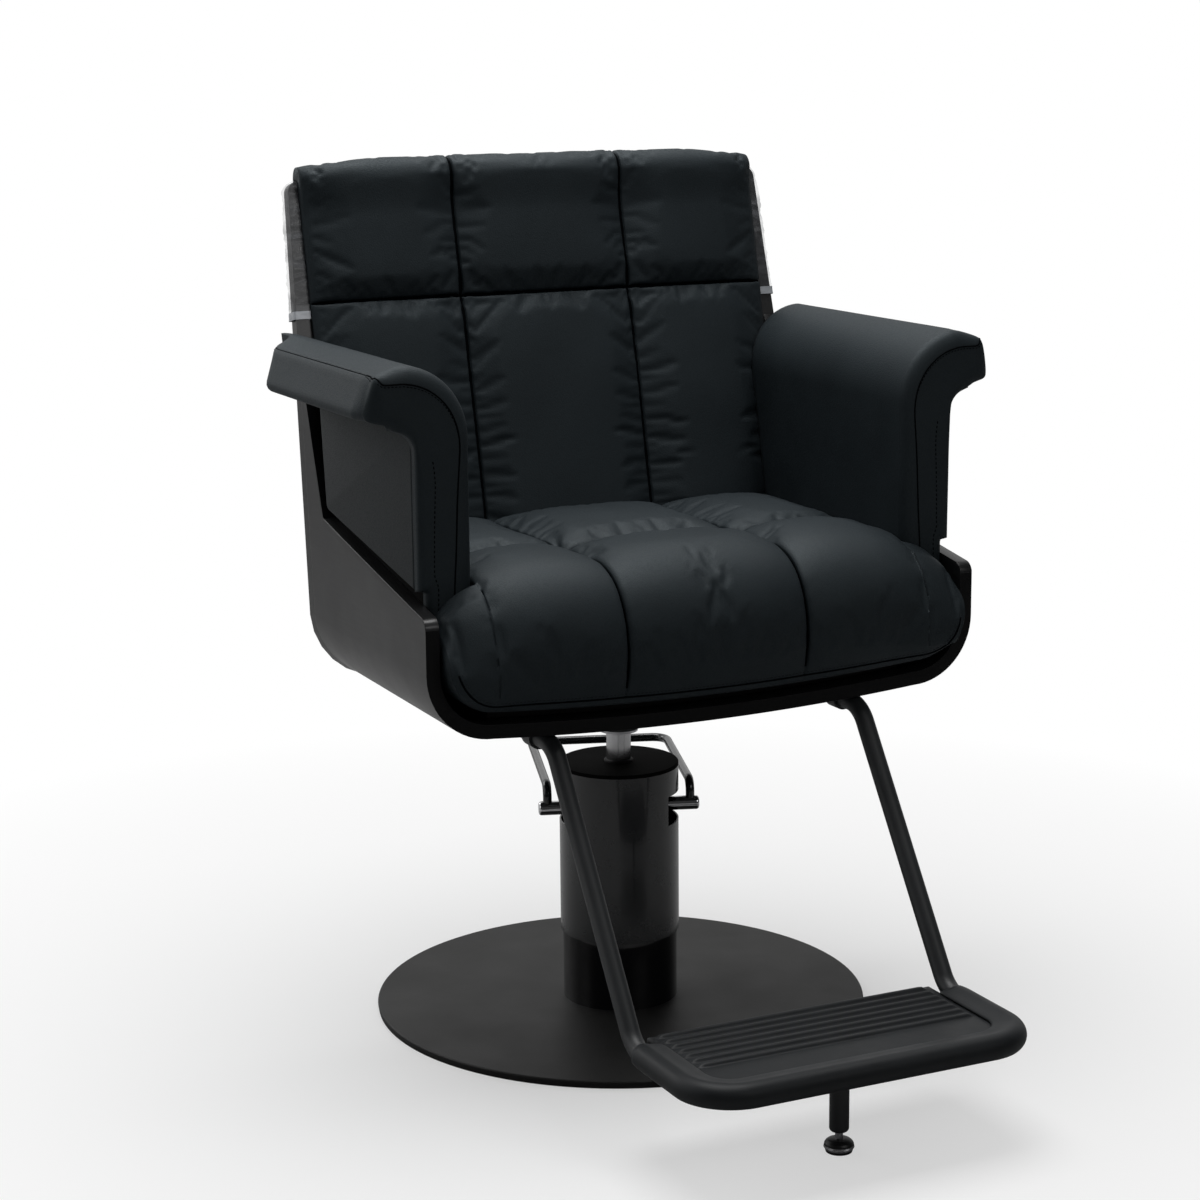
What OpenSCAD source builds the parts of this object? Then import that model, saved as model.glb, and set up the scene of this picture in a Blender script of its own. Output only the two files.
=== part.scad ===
// Hairdressing chair on a round floor plate with a foot-pumped lifting column.
// Millimetres, +Z up. The origin is the middle of the floor plate's underside.
// The chair faces -Y. Seen from its front, +X is to the right, and the names left and right follow that.

/* [Floor plate] */
// Diameter of the floor plate
base_d = 560; // [480:5:640]
// Thickness of the floor plate
base_t = 8; // [6:1:14]
// Rounding of the floor plate's rim
base_edge_r = 2; // [1:0.5:2.5]

/* [Column] */
// Outer diameter of the upper sleeve
sleeve_d = 136; // [132:1:150]
// Wall of both sleeves
sleeve_wall = 1.6; // [1.2:0.1:2.5]
// Height of the upper sleeve's lower edge above the floor
sleeve_foot = 87; // [60:1:110]
// Height of the column's top above the floor
column_h = 284; // [278:1:310]
// Thickness of the cap
cap_t = 4; // [3:0.5:8]
// Outer diameter of the lower sleeve
collar_d = 131; // [126:0.5:131]
// Length of the lower sleeve inside the upper one
collar_overlap = 40; // [20:1:60]
// Height of the openings for the pedal
window_h = 34; // [28:1:40]
// Angle that each pedal opening spans
window_angle = 84; // [60:2:100]

/* [Lift] */
// Diameter of the piston rod
rod_d = 28; // [24:1:32]
// Outer diameter of the pump cylinder
cylinder_d = 60; // [56:1:64]
// Wall of the pump cylinder
cylinder_wall = 5; // [4:0.5:7]
// Diameter of the pump's foot flange
flange_d = 118; // [100:1:120]
// Thickness of the foot flange
flange_t = 12; // [8:1:14]
// Diameter of the circle of flange screws
flange_pcd = 94; // [84:1:100]
// Diameter of the flange screws
flange_screw_d = 10; // [8:1:12]

/* [Pedal] */
// Turn of the pump about the column, seen from above
pump_turn = -19; // [-40:1:40]
// Distance of the pedal's shafts below the column's top
pedal_drop = 53; // [48:1:59]
// Diameter of the pedal's shafts
shaft_d = 16; // [12:1:18]
// Reach of the shafts from the column's axis
shaft_reach = 92; // [88:1:110]
// Diameter of the bent rod of the pedal
loop_d = 10; // [8:1:12]
// Distance of each arm of the pedal from the column's axis
loop_half_w = 82; // [80:1:84]
// Reach of the pedal behind the column's axis
loop_reach = 200; // [150:5:220]
// Rise of the pedal's arms above the shafts
loop_rise = 26; // [22:1:34]

/* [Seat shell] */
// Outer width of the seat shell
shell_w = 646; // [600:2:680]
// Distance of the shell's front edge from the column's axis
shell_front = 226; // [210:1:240]
// Height of the shell's underside above the column's top, with the piston right down
shell_rise = 98; // [94:1:116]
// Thickness of the bent panel
shell_t = 15; // [12:1:18]
// Radius of the shell's lower corners
shell_r = 72; // [60:1:80]
// Rise of the shell's underside from its middle to its corners
shell_bow = 10; // [6:1:14]
// Height of the side walls at the front, above the underside
wall_front_h = 139; // [130:1:150]
// Height of the side walls where they turn up, above the underside
wall_knee_h = 194; // [180:1:205]
// Distance of that turn behind the column's axis
wall_knee_y = 90; // [80:1:100]
// Height at which the side walls run out on the back, above the underside
wall_end_h = 378; // [360:1:390]

/* [Back] */
// Lean of the back
back_lean = 13; // [9:0.5:16]
// Distance of the back's foot behind the column's axis
back_foot_y = 98; // [90:1:110]
// Height of the back panel's top above the shell's underside
back_h = 553; // [520:1:580]
// Width of the back panel at its top
back_top_w = 592; // [560:2:600]
// Thickness of the back panel
back_t = 15; // [12:1:18]
// Radius of the back panel's top corners
back_corner_r = 12; // [8:1:20]
// Length of the clear cover down from the top of the back panel
cover_h = 150; // [120:1:165]
// Thickness of the clear cover
cover_t = 0.8; // [0.5:0.1:1.2]

/* [Cushions] */
// Width of the back cushion
back_pad_w = 570; // [550:2:576]
// Thickness of the back cushion at its seams
back_pad_seam_t = 6; // [4:0.5:10]
// Swell of the back cushion between its seams
back_pad_crown = 17; // [8:1:20]
// Rise of the back cushion above the back panel
back_pad_rise = 23; // [18:1:28]
// Distance of the long seams from the middle
seam_x = 106; // [95:1:115]
// Distance of the back's cross seam below the panel's top
cross_seam_drop = 139; // [120:1:160]
// Height of the seat cushion's top seams above the shell's underside
seat_top_h = 174; // [168:1:182]
// Swell of the seat cushion between its seams
seat_crown = 9; // [5:1:14]
// Depth of the sewn tufts in the seat cushion
tuft_depth = 9; // [5:1:14]
// Distance of the tufts in front of the column's axis
tuft_front = 77; // [60:1:90]
// Overhang of the seat cushion past the shell's front edge
seat_overhang = 16; // [10:1:24]
// Width of the seat cushion in front of the arms
seat_pad_w = 610; // [596:2:614]

/* [Arms] */
// Distance between the arm pads
arm_gap = 510; // [480:2:520]
// Height of the arm pads' tops above the shell's underside
arm_top_h = 391; // [370:1:400]
// Radius of the arm pads' inner top edge
arm_roll_r = 75; // [60:1:80]
// Width over the two lips of the arm pads
arm_over_w = 744; // [730:2:756]
// Height of the lips' lower edge above the shell's underside
lip_low_h = 336; // [325:1:345]
// Distance of the arm pads' front faces from the column's axis
arm_front = 192; // [180:1:198]
// Thickness of the side panels on the arms
side_panel_t = 8; // [6:1:10]
// Thickness of the boards that carry the arms
arm_board_t = 9; // [6:1:12]
// Width of the shadow gap between the side panels and the shell
shadow_gap = 15; // [10:1:18]

/* [Footrest] */
// Diameter of the footrest's tube
tube_d = 20; // [16:1:24]
// Distance of the tube's uprights from the middle
tube_half_w = 183; // [170:1:190]
// Slope of the uprights from the vertical
tube_slope = 34.3; // [30:0.1:38]
// Bend radius of the tube, along its middle
tube_bend_r = 38; // [32:1:45]
// Radius of the tube's front corners, along its middle
tube_corner_r = 49; // [40:1:60]
// Height of the tube's middle round the foot pad
foot_z = 108; // [98:1:115]
// Distance of the tube's middle at the very front from the column's axis
foot_front = 562; // [545:1:575]
// Distance of the foot pad's straight rear edge from the column's axis
foot_rear = 396; // [390:1:405]
// Thickness of the foot pad
foot_pad_t = 9; // [6:1:10]
// Number of ribs on the foot pad
rib_count = 7; // [3:1:9]
// Distance of the leg from the column's axis
leg_front = 495; // [470:1:505]
// Height of the leg's lower end above the floor
leg_foot = 21; // [19:1:26]
// Diameter of the glide
glide_d = 31; // [26:1:36]
// Height of the glide
glide_h = 14; // [12:1:15]

/* [Hidden] */

// Finish of round pieces
$fn = 96;

// Shared clearances and overruns
over = 1;
fit = 0.05;
gap = 0.3;

// Column, worked out
sleeve_r = sleeve_d / 2;
sleeve_top = column_h - cap_t;
collar_r = collar_d / 2;
collar_top = sleeve_foot + collar_overlap;
rod_r = rod_d / 2;
cylinder_r = cylinder_d / 2;
cylinder_foot = base_t + flange_t;
gland_flange_t = 6;
gland_depth = 22;
gland_clear = 12;
cylinder_top = sleeve_top - gland_clear - gland_flange_t;
seal_lip = 2.5;
seal_w = 2.6;
flange_screw_count = 4;
flange_screw_head_h = 5;
flange_screw_head_share = 1.9;
flange_screw_recess = 0.6;
hex_socket_share = 0.6;

// Pump body and pedal, worked out
pedal_z = column_h - pedal_drop;
shaft_r = shaft_d / 2;
bush_wall = 2;
boss_wall = 5;
boss_reach = 46;
body_wall = 10;
body_half_h = 26;
bush_inner_end = cylinder_r + bush_wall;
crank_t = 7;
crank_gap = 1;
crank_start = boss_reach + crank_gap;
crank_mid = crank_start + crank_t / 2;
crank_arm = 22;
crank_tip_r = 6;
crank_eye_share = 0.9;
crank_eye_low_share = 0.6;
crank_tip_share = 0.94;
plunger_d = 8;
plunger_head_d = 12;
plunger_head_t = 4;
plunger_len = 54;
plunger_stroke = 10;
plunger_top = pedal_z - crank_tip_r - gap;
barrel_d = 17;
barrel_h = 56;
barrel_top = plunger_top - plunger_head_t - plunger_stroke - gap;
barrel_web = 10;
window_lift = 3;
window_mid = pedal_z + window_lift;
loop_r = loop_d / 2;
loop_bend = 18;
loop_z = pedal_z + loop_rise;
stub_bend = 14;
shaft_round = 3;

// Piston and hub, worked out
piston_head_h = 20;
piston_clear = 34;
piston_foot = cylinder_foot + piston_clear;
hub_d = 52;
hub_clear = 39;
hub_foot = column_h + hub_clear;
hub_flange_d = 96;
hub_flange_t = 6;
washer_t = 3;
washer_d = 44;
plate_t = 6;
plate_w = 230;
plate_l = 200;
plate_corner = 14;
shell_z = column_h + shell_rise;
plate_top = shell_z - gap;
plate_foot = plate_top - plate_t;
spigot_d = 22;
spigot_clear = 3;
spigot_chamfer = 2;
plate_bolt_d = 8;
plate_bolt_head_t = 5.5;
plate_bolt_head_w = 15;
plate_bolt_x = 92;
plate_bolt_y = 78;
plate_bolt_depth = 9;

// Shell and back, worked out
shell_half = shell_w / 2;
corner_x = shell_half - shell_r;
corner_z = shell_z + shell_bow + shell_r;
wall_round = 10;
back_top_half = back_top_w / 2;
back_len = back_h / cos(back_lean);
rear_narrow = 5;
taper_per_h = (shell_half - rear_narrow - back_top_half) / (shell_z + back_h - corner_z);
knee_share = (wall_knee_y + shell_front) / (back_y(shell_z + wall_knee_h) + shell_front);
wall_steps = 3;
floor_steps = 6;
corner_steps = 6;
slope_rings = 3;
rear_rings = 3;
wall_round_shares = [0, 0.12, 0.4, 1];
board_t = 14;
board_inset = 14;
board_foot = shell_z + shell_t + gap;
board_front = shell_front - 2 * board_inset;

// Cushions, worked out
seat_foot = board_foot + board_t + gap;
seat_seam_z = shell_z + seat_top_h;
seat_half = seat_pad_w / 2;
seat_stem_clear = 2;
seat_stem_half = arm_gap / 2 - seat_stem_clear;
seat_corner_r = 55;
seat_wing_flat = 14;
seat_front_y = -(shell_front + seat_overhang);
seat_nose_rise = 42;
seat_nose_z = seat_foot + seat_nose_rise;
seat_side_drop = 10;
seat_nose_depth = 92;
seat_shoulder = 41;
seat_bulge = 9;
seat_rear_gap = 3;
nose_share = 0.8;
across_share = 0.8;
along_share = 0.5;
pad_depth = back_pad_seam_t + back_pad_crown;
back_pad_half = back_pad_w / 2;
back_pad_foot = 60;
back_ear_drop = 8;
roll_seat_share = 0.8;
top_lift_share = 1.6;
back_across_share = 0.7;
back_along_share = 0.6;

// Arms, worked out
arm_in = arm_gap / 2;
arm_low = corner_z + 2 * gap;
arm_top = shell_z + arm_top_h;
arm_strip = 12;
arm_rear_share = 0.8;
panel_in = shell_half - shell_t;
panel_out = panel_in + side_panel_t;
lip_out = arm_over_w / 2;
lip_low = shell_z + lip_low_h;
lip_top_drop = 7;
lip_slant = 11;
lip_top_r = 12;
lip_low_r = 8;
lip_fillet = 16;
lip_rear_r = 50;
lip_rear_y = 142;
lip_seat = lip_low - lip_fillet / 2;
panel_rear_gap = 16;
panel_rear = wall_knee_y - panel_rear_gap;
panel_corner = 8;
arm_round = 9;
arm_round_shares = [1, 0.4, 0];
lip_end_angles = [0, 25, 50, 70, 85];

// Footrest, worked out
tube_r = tube_d / 2;
tube_wall = 2;
run_z = shell_z + shell_bow * pow(tube_half_w / corner_x, 2) - gap - tube_r;
run_rear = 90;
bend_turn = 90 - tube_slope;
bend_len = tube_bend_r * tan(bend_turn / 2);
slope_top_y = 224;
tube_sides = 20;
foot_bend_y = slope_top_y + (run_z - foot_z) * tan(tube_slope);
tray_t = 3;
tray_z = foot_z - 4;
pad_half = tube_half_w - tube_r - gap;
pad_front = foot_front - tube_r - gap;
pad_corner = tube_corner_r - tube_r - gap;
rib_h = 2;
rib_w = 6;
rib_pitch = 14.5;
rib_margin = 22;
rib_first = 8;
clamp_w = 20;
clamp_t = 2.5;
clamp_ear = 16;
clamp_drop = 2;
clamp_screw_d = 5;
clamp_head_d = 10;
clamp_head_t = 3;
clamp_front_y = 180;
clamp_rear_y = 112;
leg_r = tube_r;
leg_round = 4;
stud_d = 8;
stud_len = 26;
insert_len = 22;
insert_inset = 1;
sole_t = 3;
sole_foot_share = 0.86;
sole_top_share = 0.92;
glide_rim_share = 0.97;
brim_share = 0.3;

// A point list along an arc
function arc(cx, cy, r, a0, a1, n) =
    [for (i = [0:n]) let (a = a0 + (a1 - a0) * i / n) [cx + r * cos(a), cy + r * sin(a)]];

// Zero to one with soft ends
function smooth(t) = let (u = min(1, max(0, t))) u * u * (3 - 2 * u);

// A hump over -1 to 1 that meets its neighbours in a crease
function pillow(t) = let (u = min(1, abs(t))) 1 - u * u;

// The area of a ring of points as a vector square to it
function ring_area(r, i = 1) = i > len(r) - 2 ? [0, 0, 0]
    : cross(r[i] - r[0], r[i + 1] - r[0]) + ring_area(r, i + 1);

// The triangles that close a ring of k points, as a ladder between its first half and its second
function ladder(k) = [for (i = [0:ceil(k / 2) - 2])
    each i + 1 < k - 2 - i ? [[i, i + 1, k - 2 - i], [i, k - 2 - i, k - 1 - i]] : [[i, i + 1, k - 1 - i]]];

// A solid through equal rings of points, which may turn either way
module loft(rings) {
    k = len(rings[0]);
    n = len(rings);
    turned = ring_area(rings[0]) * (rings[1][0] - rings[0][0]) > 0;
    first = [for (f = ladder(k)) [f[2], f[1], f[0]]];
    last = [for (f = ladder(k)) [for (i = f) (n - 1) * k + i]];
    side = [for (j = [0:n - 2], i = [0:k - 1])
        let (a = j * k + i, b = j * k + (i + 1) % k) each [[a, b, b + k], [a, b + k, a + k]]];
    faces = concat(first, side, last);
    polyhedron(points = [for (r = rings) each r], convexity = 6,
        faces = turned ? [for (f = faces) [f[2], f[1], f[0]]] : faces);
}

function unit(v) = v / norm(v);

// One direction square to the path at each of its points, turning as little as possible
function path_normals(dirs, n, i = 0) = i == len(dirs) ? []
    : let (m = unit(n - (n * dirs[i]) * dirs[i])) concat([m], path_normals(dirs, m, i + 1));

// A round bar along a path of points
module sweep(path, r, sides, start) {
    n = len(path) - 1;
    dirs = [for (i = [0:n]) unit(path[min(n, i + 1)] - path[max(0, i - 1)])];
    normals = path_normals(dirs, start);
    loft([for (i = [0:n]) let (u = normals[i], w = cross(dirs[i], u))
        [for (a = [0:sides - 1]) path[i] + r * (cos(360 * a / sides) * u + sin(360 * a / sides) * w)]]);
}

// Places things in the pump's own directions: x along the shafts, y towards the pedal
module on_pump() {
    rotate([0, 0, pump_turn]) children();
}

// Places things on the back panel's front face: y is depth, z runs up the panel
module on_back() {
    translate([0, back_foot_y, shell_z]) rotate([-back_lean, 0, 0]) children();
}

// The depth of the back panel's front face at a height above the floor
function back_y(z) = back_foot_y + (z - shell_z) * tan(back_lean);

// Copies on both sides of the middle
module both_sides() {
    children();
    mirror([1, 0, 0]) children();
}

module base_plate() {
    r = base_d / 2;
    color("#1b1c1d") difference() {
        rotate_extrude() polygon(concat(
            [[0, 0], [r - base_edge_r / 2, 0]],
            arc(r - base_edge_r, base_t - base_edge_r, base_edge_r, 0, 90, 6),
            [[0, base_t]]));
        flange_screw_places() {
            translate([0, 0, -over]) cylinder(d = flange_screw_d + 2 * gap, h = base_t + 2 * over);
            translate([0, 0, -over]) screw_cone(gap, flange_screw_recess + over);
        }
    }
}

module flange_screw_places() {
    for (i = [0:flange_screw_count - 1])
        rotate([0, 0, pump_turn + 45 + i * 360 / flange_screw_count])
            translate([flange_pcd / 2, 0, 0]) children();
}

// The countersunk head, wider by a clearance and drawn down by a lead
module screw_cone(clear, lead) {
    head_r = flange_screw_d * flange_screw_head_share / 2;
    cylinder(r = head_r + clear, h = lead);
    translate([0, 0, lead])
        cylinder(r1 = head_r + clear, r2 = flange_screw_d / 2 + clear, h = flange_screw_head_h);
}

module flange_screws() {
    color("#6d6f72") flange_screw_places() difference() {
        union() {
            translate([0, 0, flange_screw_recess])
                cylinder(r1 = flange_screw_d * flange_screw_head_share / 2, r2 = flange_screw_d / 2,
                    h = flange_screw_head_h);
            translate([0, 0, flange_screw_recess + flange_screw_head_h])
                cylinder(d = flange_screw_d,
                    h = cylinder_foot - flange_screw_recess - flange_screw_head_h - gap);
        }
        translate([0, 0, flange_screw_recess - over])
            cylinder(d = flange_screw_d * hex_socket_share, h = flange_screw_head_h / 2 + over, $fn = 6);
    }
}

module pump_flange() {
    chamfer = flange_t / 6;
    color("#3a3b3d") difference() {
        rotate_extrude() polygon([[0, base_t], [flange_d / 2, base_t],
            [flange_d / 2, cylinder_foot - chamfer], [flange_d / 2 - chamfer, cylinder_foot],
            [0, cylinder_foot]]);
        flange_screw_places() translate([0, 0, base_t - over])
            cylinder(d = flange_screw_d + 2 * gap, h = flange_t + 2 * over);
    }
}

module pump_cylinder() {
    foot_r = cylinder_r + cylinder_wall / 2;
    color("#4a4c4f") difference() {
        union() {
            translate([0, 0, cylinder_foot]) cylinder(r = cylinder_r, h = cylinder_top - cylinder_foot);
            translate([0, 0, cylinder_foot])
                cylinder(r1 = foot_r + cylinder_wall, r2 = foot_r, h = 2 * cylinder_wall);
        }
        translate([0, 0, cylinder_foot + cylinder_wall])
            cylinder(r = cylinder_r - cylinder_wall, h = cylinder_top);
    }
}

module cylinder_gland() {
    color("#b59a5a") difference() {
        union() {
            translate([0, 0, cylinder_top]) cylinder(r = cylinder_r, h = gland_flange_t);
            translate([0, 0, cylinder_top - gland_depth])
                cylinder(r = cylinder_r - cylinder_wall - fit, h = gland_depth + gland_flange_t / 2);
        }
        translate([0, 0, cylinder_top - gland_depth - over])
            cylinder(r = rod_r + fit, h = gland_depth + gland_flange_t + 2 * over);
    }
}

// A round bar along the pump's x from one reach to another
module bar_x(r, from, to) {
    translate([from, 0, pedal_z]) rotate([0, 90, 0]) cylinder(r = r, h = to - from);
}

module pump_body() {
    boss_r = shaft_r + bush_wall + boss_wall;
    color("#38393b") on_pump() difference() {
        union() {
            translate([0, 0, pedal_z - body_half_h])
                cylinder(r = cylinder_r + body_wall, h = 2 * body_half_h);
            bar_x(boss_r, -boss_reach, boss_reach);
            translate([crank_mid, crank_arm, barrel_top - barrel_h]) cylinder(d = barrel_d, h = barrel_h);
            translate([cylinder_r, crank_arm - barrel_web / 2, pedal_z - body_half_h])
                cube([crank_mid - cylinder_r, barrel_web, barrel_top - pedal_z + body_half_h]);
        }
        translate([0, 0, pedal_z - body_half_h - barrel_h])
            cylinder(r = cylinder_r + gap, h = 2 * (body_half_h + barrel_h));
        bar_x(shaft_r + bush_wall + fit, -boss_reach - over, boss_reach + over);
        translate([crank_mid, crank_arm, barrel_top - barrel_h + bush_wall])
            cylinder(d = plunger_d + 2 * fit, h = barrel_h);
    }
}

module pedal_bushes() {
    color("#b08d4f") on_pump() both_sides() difference() {
        bar_x(shaft_r + bush_wall, bush_inner_end, boss_reach);
        bar_x(shaft_r + fit, bush_inner_end - over, boss_reach + over);
    }
}

module lower_sleeve() {
    color("#0c0d0e") translate([0, 0, base_t]) difference() {
        cylinder(r = collar_r, h = collar_top - base_t);
        translate([0, 0, -over]) cylinder(r = collar_r - sleeve_wall, h = collar_top);
    }
}

// The openings that the pedal's shafts pass through
module sleeve_windows() {
    for (side = [0, 180])
        on_pump() rotate([0, 0, side - window_angle / 2])
            translate([0, 0, window_mid - window_h / 2])
                rotate_extrude(angle = window_angle)
                    translate([sleeve_r - 2 * sleeve_wall, 0]) square([3 * sleeve_wall, window_h]);
}

module upper_sleeve() {
    color("#26282b") difference() {
        translate([0, 0, sleeve_foot]) cylinder(r = sleeve_r, h = sleeve_top - sleeve_foot);
        translate([0, 0, sleeve_foot - over]) cylinder(r = sleeve_r - sleeve_wall, h = sleeve_top);
        sleeve_windows();
    }
}

module column_cap() {
    edge = cap_t / 5;
    bore = rod_r + seal_w + gap;
    spigot = sleeve_r - sleeve_wall - gap;
    color("#0a0b0c") rotate_extrude() polygon([[bore, sleeve_top - cap_t], [spigot, sleeve_top - cap_t],
        [spigot, sleeve_top], [sleeve_r, sleeve_top], [sleeve_r, column_h - edge],
        [sleeve_r - edge, column_h],
        [bore, column_h]]);
}

module rod_seal() {
    r = rod_r + seal_w;
    color("#141414") translate([0, 0, column_h - cap_t]) rotate_extrude() polygon(concat(
        [[rod_r + fit, 0], [r, 0]],
        arc(r - seal_lip / 2, cap_t + seal_lip - seal_lip / 2, seal_lip / 2, 0, 90, 5),
        [[rod_r + fit, cap_t + seal_lip]]));
}

module pedal_shafts() {
    color("#d8dadc") on_pump() both_sides() difference() {
        union() {
            bar_x(shaft_r, bush_inner_end, shaft_reach - shaft_round);
            translate([shaft_reach - shaft_round, 0, pedal_z]) rotate([0, 90, 0])
                rotate_extrude() polygon(concat([[0, 0]],
                    arc(shaft_r - shaft_round, 0, shaft_round, 0, 90, 6), [[0, shaft_round]]));
        }
        translate([loop_half_w, 0, pedal_z - loop_r]) cylinder(r = loop_r + gap, h = shaft_d);
    }
}

// The arm on one shaft that presses the plunger down
module pedal_crank() {
    eye_r = shaft_r + boss_wall / 2;
    color("#55575a") on_pump() translate([crank_start, 0, pedal_z]) rotate([90, 0, 90]) difference() {
        union() {
            cylinder(r = eye_r, h = crank_t);
            translate([crank_arm, 0, 0]) cylinder(r = crank_tip_r, h = crank_t);
            linear_extrude(crank_t) polygon([
                [0, -eye_r * crank_eye_low_share], [crank_arm, -crank_tip_r * crank_tip_share],
                [crank_arm, crank_tip_r * crank_tip_share], [0, eye_r * crank_eye_share]]);
        }
        translate([0, 0, -over]) cylinder(r = shaft_r + fit, h = crank_t + 2 * over);
    }
}

// A quarter bend of round bar whose ends lie on +X and +Y
module quarter_bend(bend, r) {
    rotate_extrude(angle = 90) translate([bend, 0]) circle(r = r);
}

module pedal_loop() {
    arm_len = loop_reach - stub_bend - loop_bend;
    color("#1d1f21") on_pump() both_sides() {
        translate([loop_half_w, 0, pedal_z - loop_r + gap])
            cylinder(r = loop_r, h = loop_rise + loop_r - stub_bend - gap);
        translate([loop_half_w, stub_bend, loop_z - stub_bend])
            rotate([90, 0, -90]) quarter_bend(stub_bend, loop_r);
        translate([loop_half_w, stub_bend, loop_z]) rotate([-90, 0, 0]) cylinder(r = loop_r, h = arm_len);
        translate([loop_half_w - loop_bend, loop_reach - loop_bend, loop_z]) quarter_bend(loop_bend, loop_r);
        translate([0, loop_reach, loop_z]) rotate([0, 90, 0])
            cylinder(r = loop_r, h = loop_half_w - loop_bend);
    }
}

module pump_plunger() {
    color("#c9cbcd") on_pump() translate([crank_mid, crank_arm, plunger_top]) mirror([0, 0, 1]) {
        cylinder(d = plunger_head_d, h = plunger_head_t);
        translate([0, 0, plunger_head_t]) cylinder(d = plunger_d, h = plunger_len - plunger_head_t);
    }
}

module piston_rod() {
    shoulder = hub_foot - gap - washer_t;
    top = plate_foot - spigot_clear;
    color("#c4c6c8") rotate_extrude() polygon([[0, piston_foot], [rod_r, piston_foot], [rod_r, shoulder],
        [spigot_d / 2, shoulder], [spigot_d / 2, top - spigot_chamfer],
        [spigot_d / 2 - spigot_chamfer, top], [0, top]]);
}

module piston_head() {
    groove = 3;
    r = cylinder_r - cylinder_wall - fit;
    z = piston_foot;
    mid = z + piston_head_h / 2;
    color("#77797c") rotate_extrude() polygon([
        [rod_r + fit, z], [r, z], [r, mid - groove], [r - groove, mid - groove],
        [r - groove, mid + groove], [r, mid + groove],
        [r, z + piston_head_h], [rod_r + fit, z + piston_head_h]]);
}

module thrust_washer() {
    color("#b08d4f") translate([0, 0, hub_foot - gap - washer_t]) difference() {
        cylinder(d = washer_d, h = washer_t);
        translate([0, 0, -over]) cylinder(r = spigot_d / 2 + fit, h = washer_t + 2 * over);
    }
}

module swivel_hub() {
    r = hub_d / 2;
    chamfer = 2;
    flare = 10;
    bore = spigot_d / 2 + fit;
    color("#202224") rotate_extrude() polygon([
        [bore, hub_foot], [r - chamfer, hub_foot], [r, hub_foot + chamfer],
        [r, plate_foot - hub_flange_t - flare], [r + flare, plate_foot - hub_flange_t],
        [hub_flange_d / 2, plate_foot - hub_flange_t], [hub_flange_d / 2, plate_foot], [bore, plate_foot]]);
}

module plate_bolt_places() {
    for (x = [-plate_bolt_x, plate_bolt_x], y = [-plate_bolt_y, plate_bolt_y])
        translate([x, y, 0]) children();
}

module seat_plate() {
    w = plate_w / 2;
    l = plate_l / 2;
    c = plate_corner;
    color("#232527") translate([0, 0, plate_foot]) difference() {
        linear_extrude(plate_t) polygon(concat(
            arc(w - c, l - c, c, 0, 90, 6), arc(c - w, l - c, c, 90, 180, 6),
            arc(c - w, c - l, c, 180, 270, 6), arc(w - c, c - l, c, 270, 360, 6)));
        plate_bolt_places() translate([0, 0, -over])
            cylinder(d = plate_bolt_d + 2 * gap, h = plate_t + 2 * over);
    }
}

module seat_plate_bolts() {
    color("#8b8d90") plate_bolt_places() {
        translate([0, 0, plate_foot - plate_bolt_head_t])
            cylinder(d = plate_bolt_head_w, h = plate_bolt_head_t, $fn = 6);
        translate([0, 0, plate_foot]) cylinder(d = plate_bolt_d, h = plate_t + plate_bolt_depth);
    }
}

// The rise of the shell's underside at a distance from the middle
function bow(x) = shell_bow * pow(min(1, abs(x) / corner_x), 2);

// How far a point lies from the shell's front edge, 0, to the back panel, 1
function shell_share(y, z) = (y + shell_front) / (back_y(z) + shell_front);

// The height at which the line from p to q, seen from the side, crosses a share of the shell's depth
function meet(p, q, v) =
    let (b = back_y(p[1]), t = (v * (b + shell_front) - p[0] - shell_front)
        / (q[0] - p[0] - v * (back_y(q[1]) - b)))
    p[1] + t * (q[1] - p[1]);

// The height of the shell's edge: a slope, a steeper run-out and a rounded front corner
function wall_top(v) =
    let (front = [-shell_front, shell_z + wall_front_h],
        knee = [wall_knee_y, shell_z + wall_knee_h],
        end = [back_y(shell_z + wall_end_h), shell_z + wall_end_h],
        from_front = v * (back_y(front[1]) + shell_front),
        u = 1 - min(1, from_front / wall_round))
    v < knee_share ? meet(front, knee, v) - wall_round * (1 - sqrt(1 - u * u)) : meet(knee, end, v);

// Half a cross section of the bent panel, from the middle of its floor to the top of its wall
function shell_half_ring(v, inset) =
    let (top = wall_top(v),
        wall = [for (i = [1:wall_steps]) [shell_half - inset, corner_z + (top - corner_z) * i / wall_steps]],
        corner = arc(corner_x, corner_z, shell_r - inset, -90, 0, corner_steps),
        floor_line = [for (i = [0:floor_steps - 1]) let (x = corner_x * i / floor_steps)
            [x, shell_z + inset + bow(x)]])
    [for (p = concat(floor_line, corner, wall)) shell_place(p, v)];

// Draws the walls in towards the back and the top
function drawn_in(x, z, v) = x - v * taper_per_h * max(0, z - corner_z)
    - v * rear_narrow * smooth((2 * x - corner_x) / (2 * shell_half - corner_x));

// Sets a point of the cross section at its depth, leaning more the nearer it is to the back
function shell_place(p, v) =
    [drawn_in(p[0], p[1], v), -shell_front + v * (back_y(p[1]) + shell_front), p[1]];

// A whole cross section: round the outside from left to right and back round the inside
function shell_ring(v) =
    let (out = shell_half_ring(v, 0), in = shell_half_ring(v, shell_t), n = len(out) - 1)
    concat([for (i = [n:-1:1]) flip_x(out[i])], out,
        [for (i = [n:-1:0]) in[i]], [for (i = [1:n]) flip_x(in[i])]);

function flip_x(p) = [-p[0], p[1], p[2]];

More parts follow.
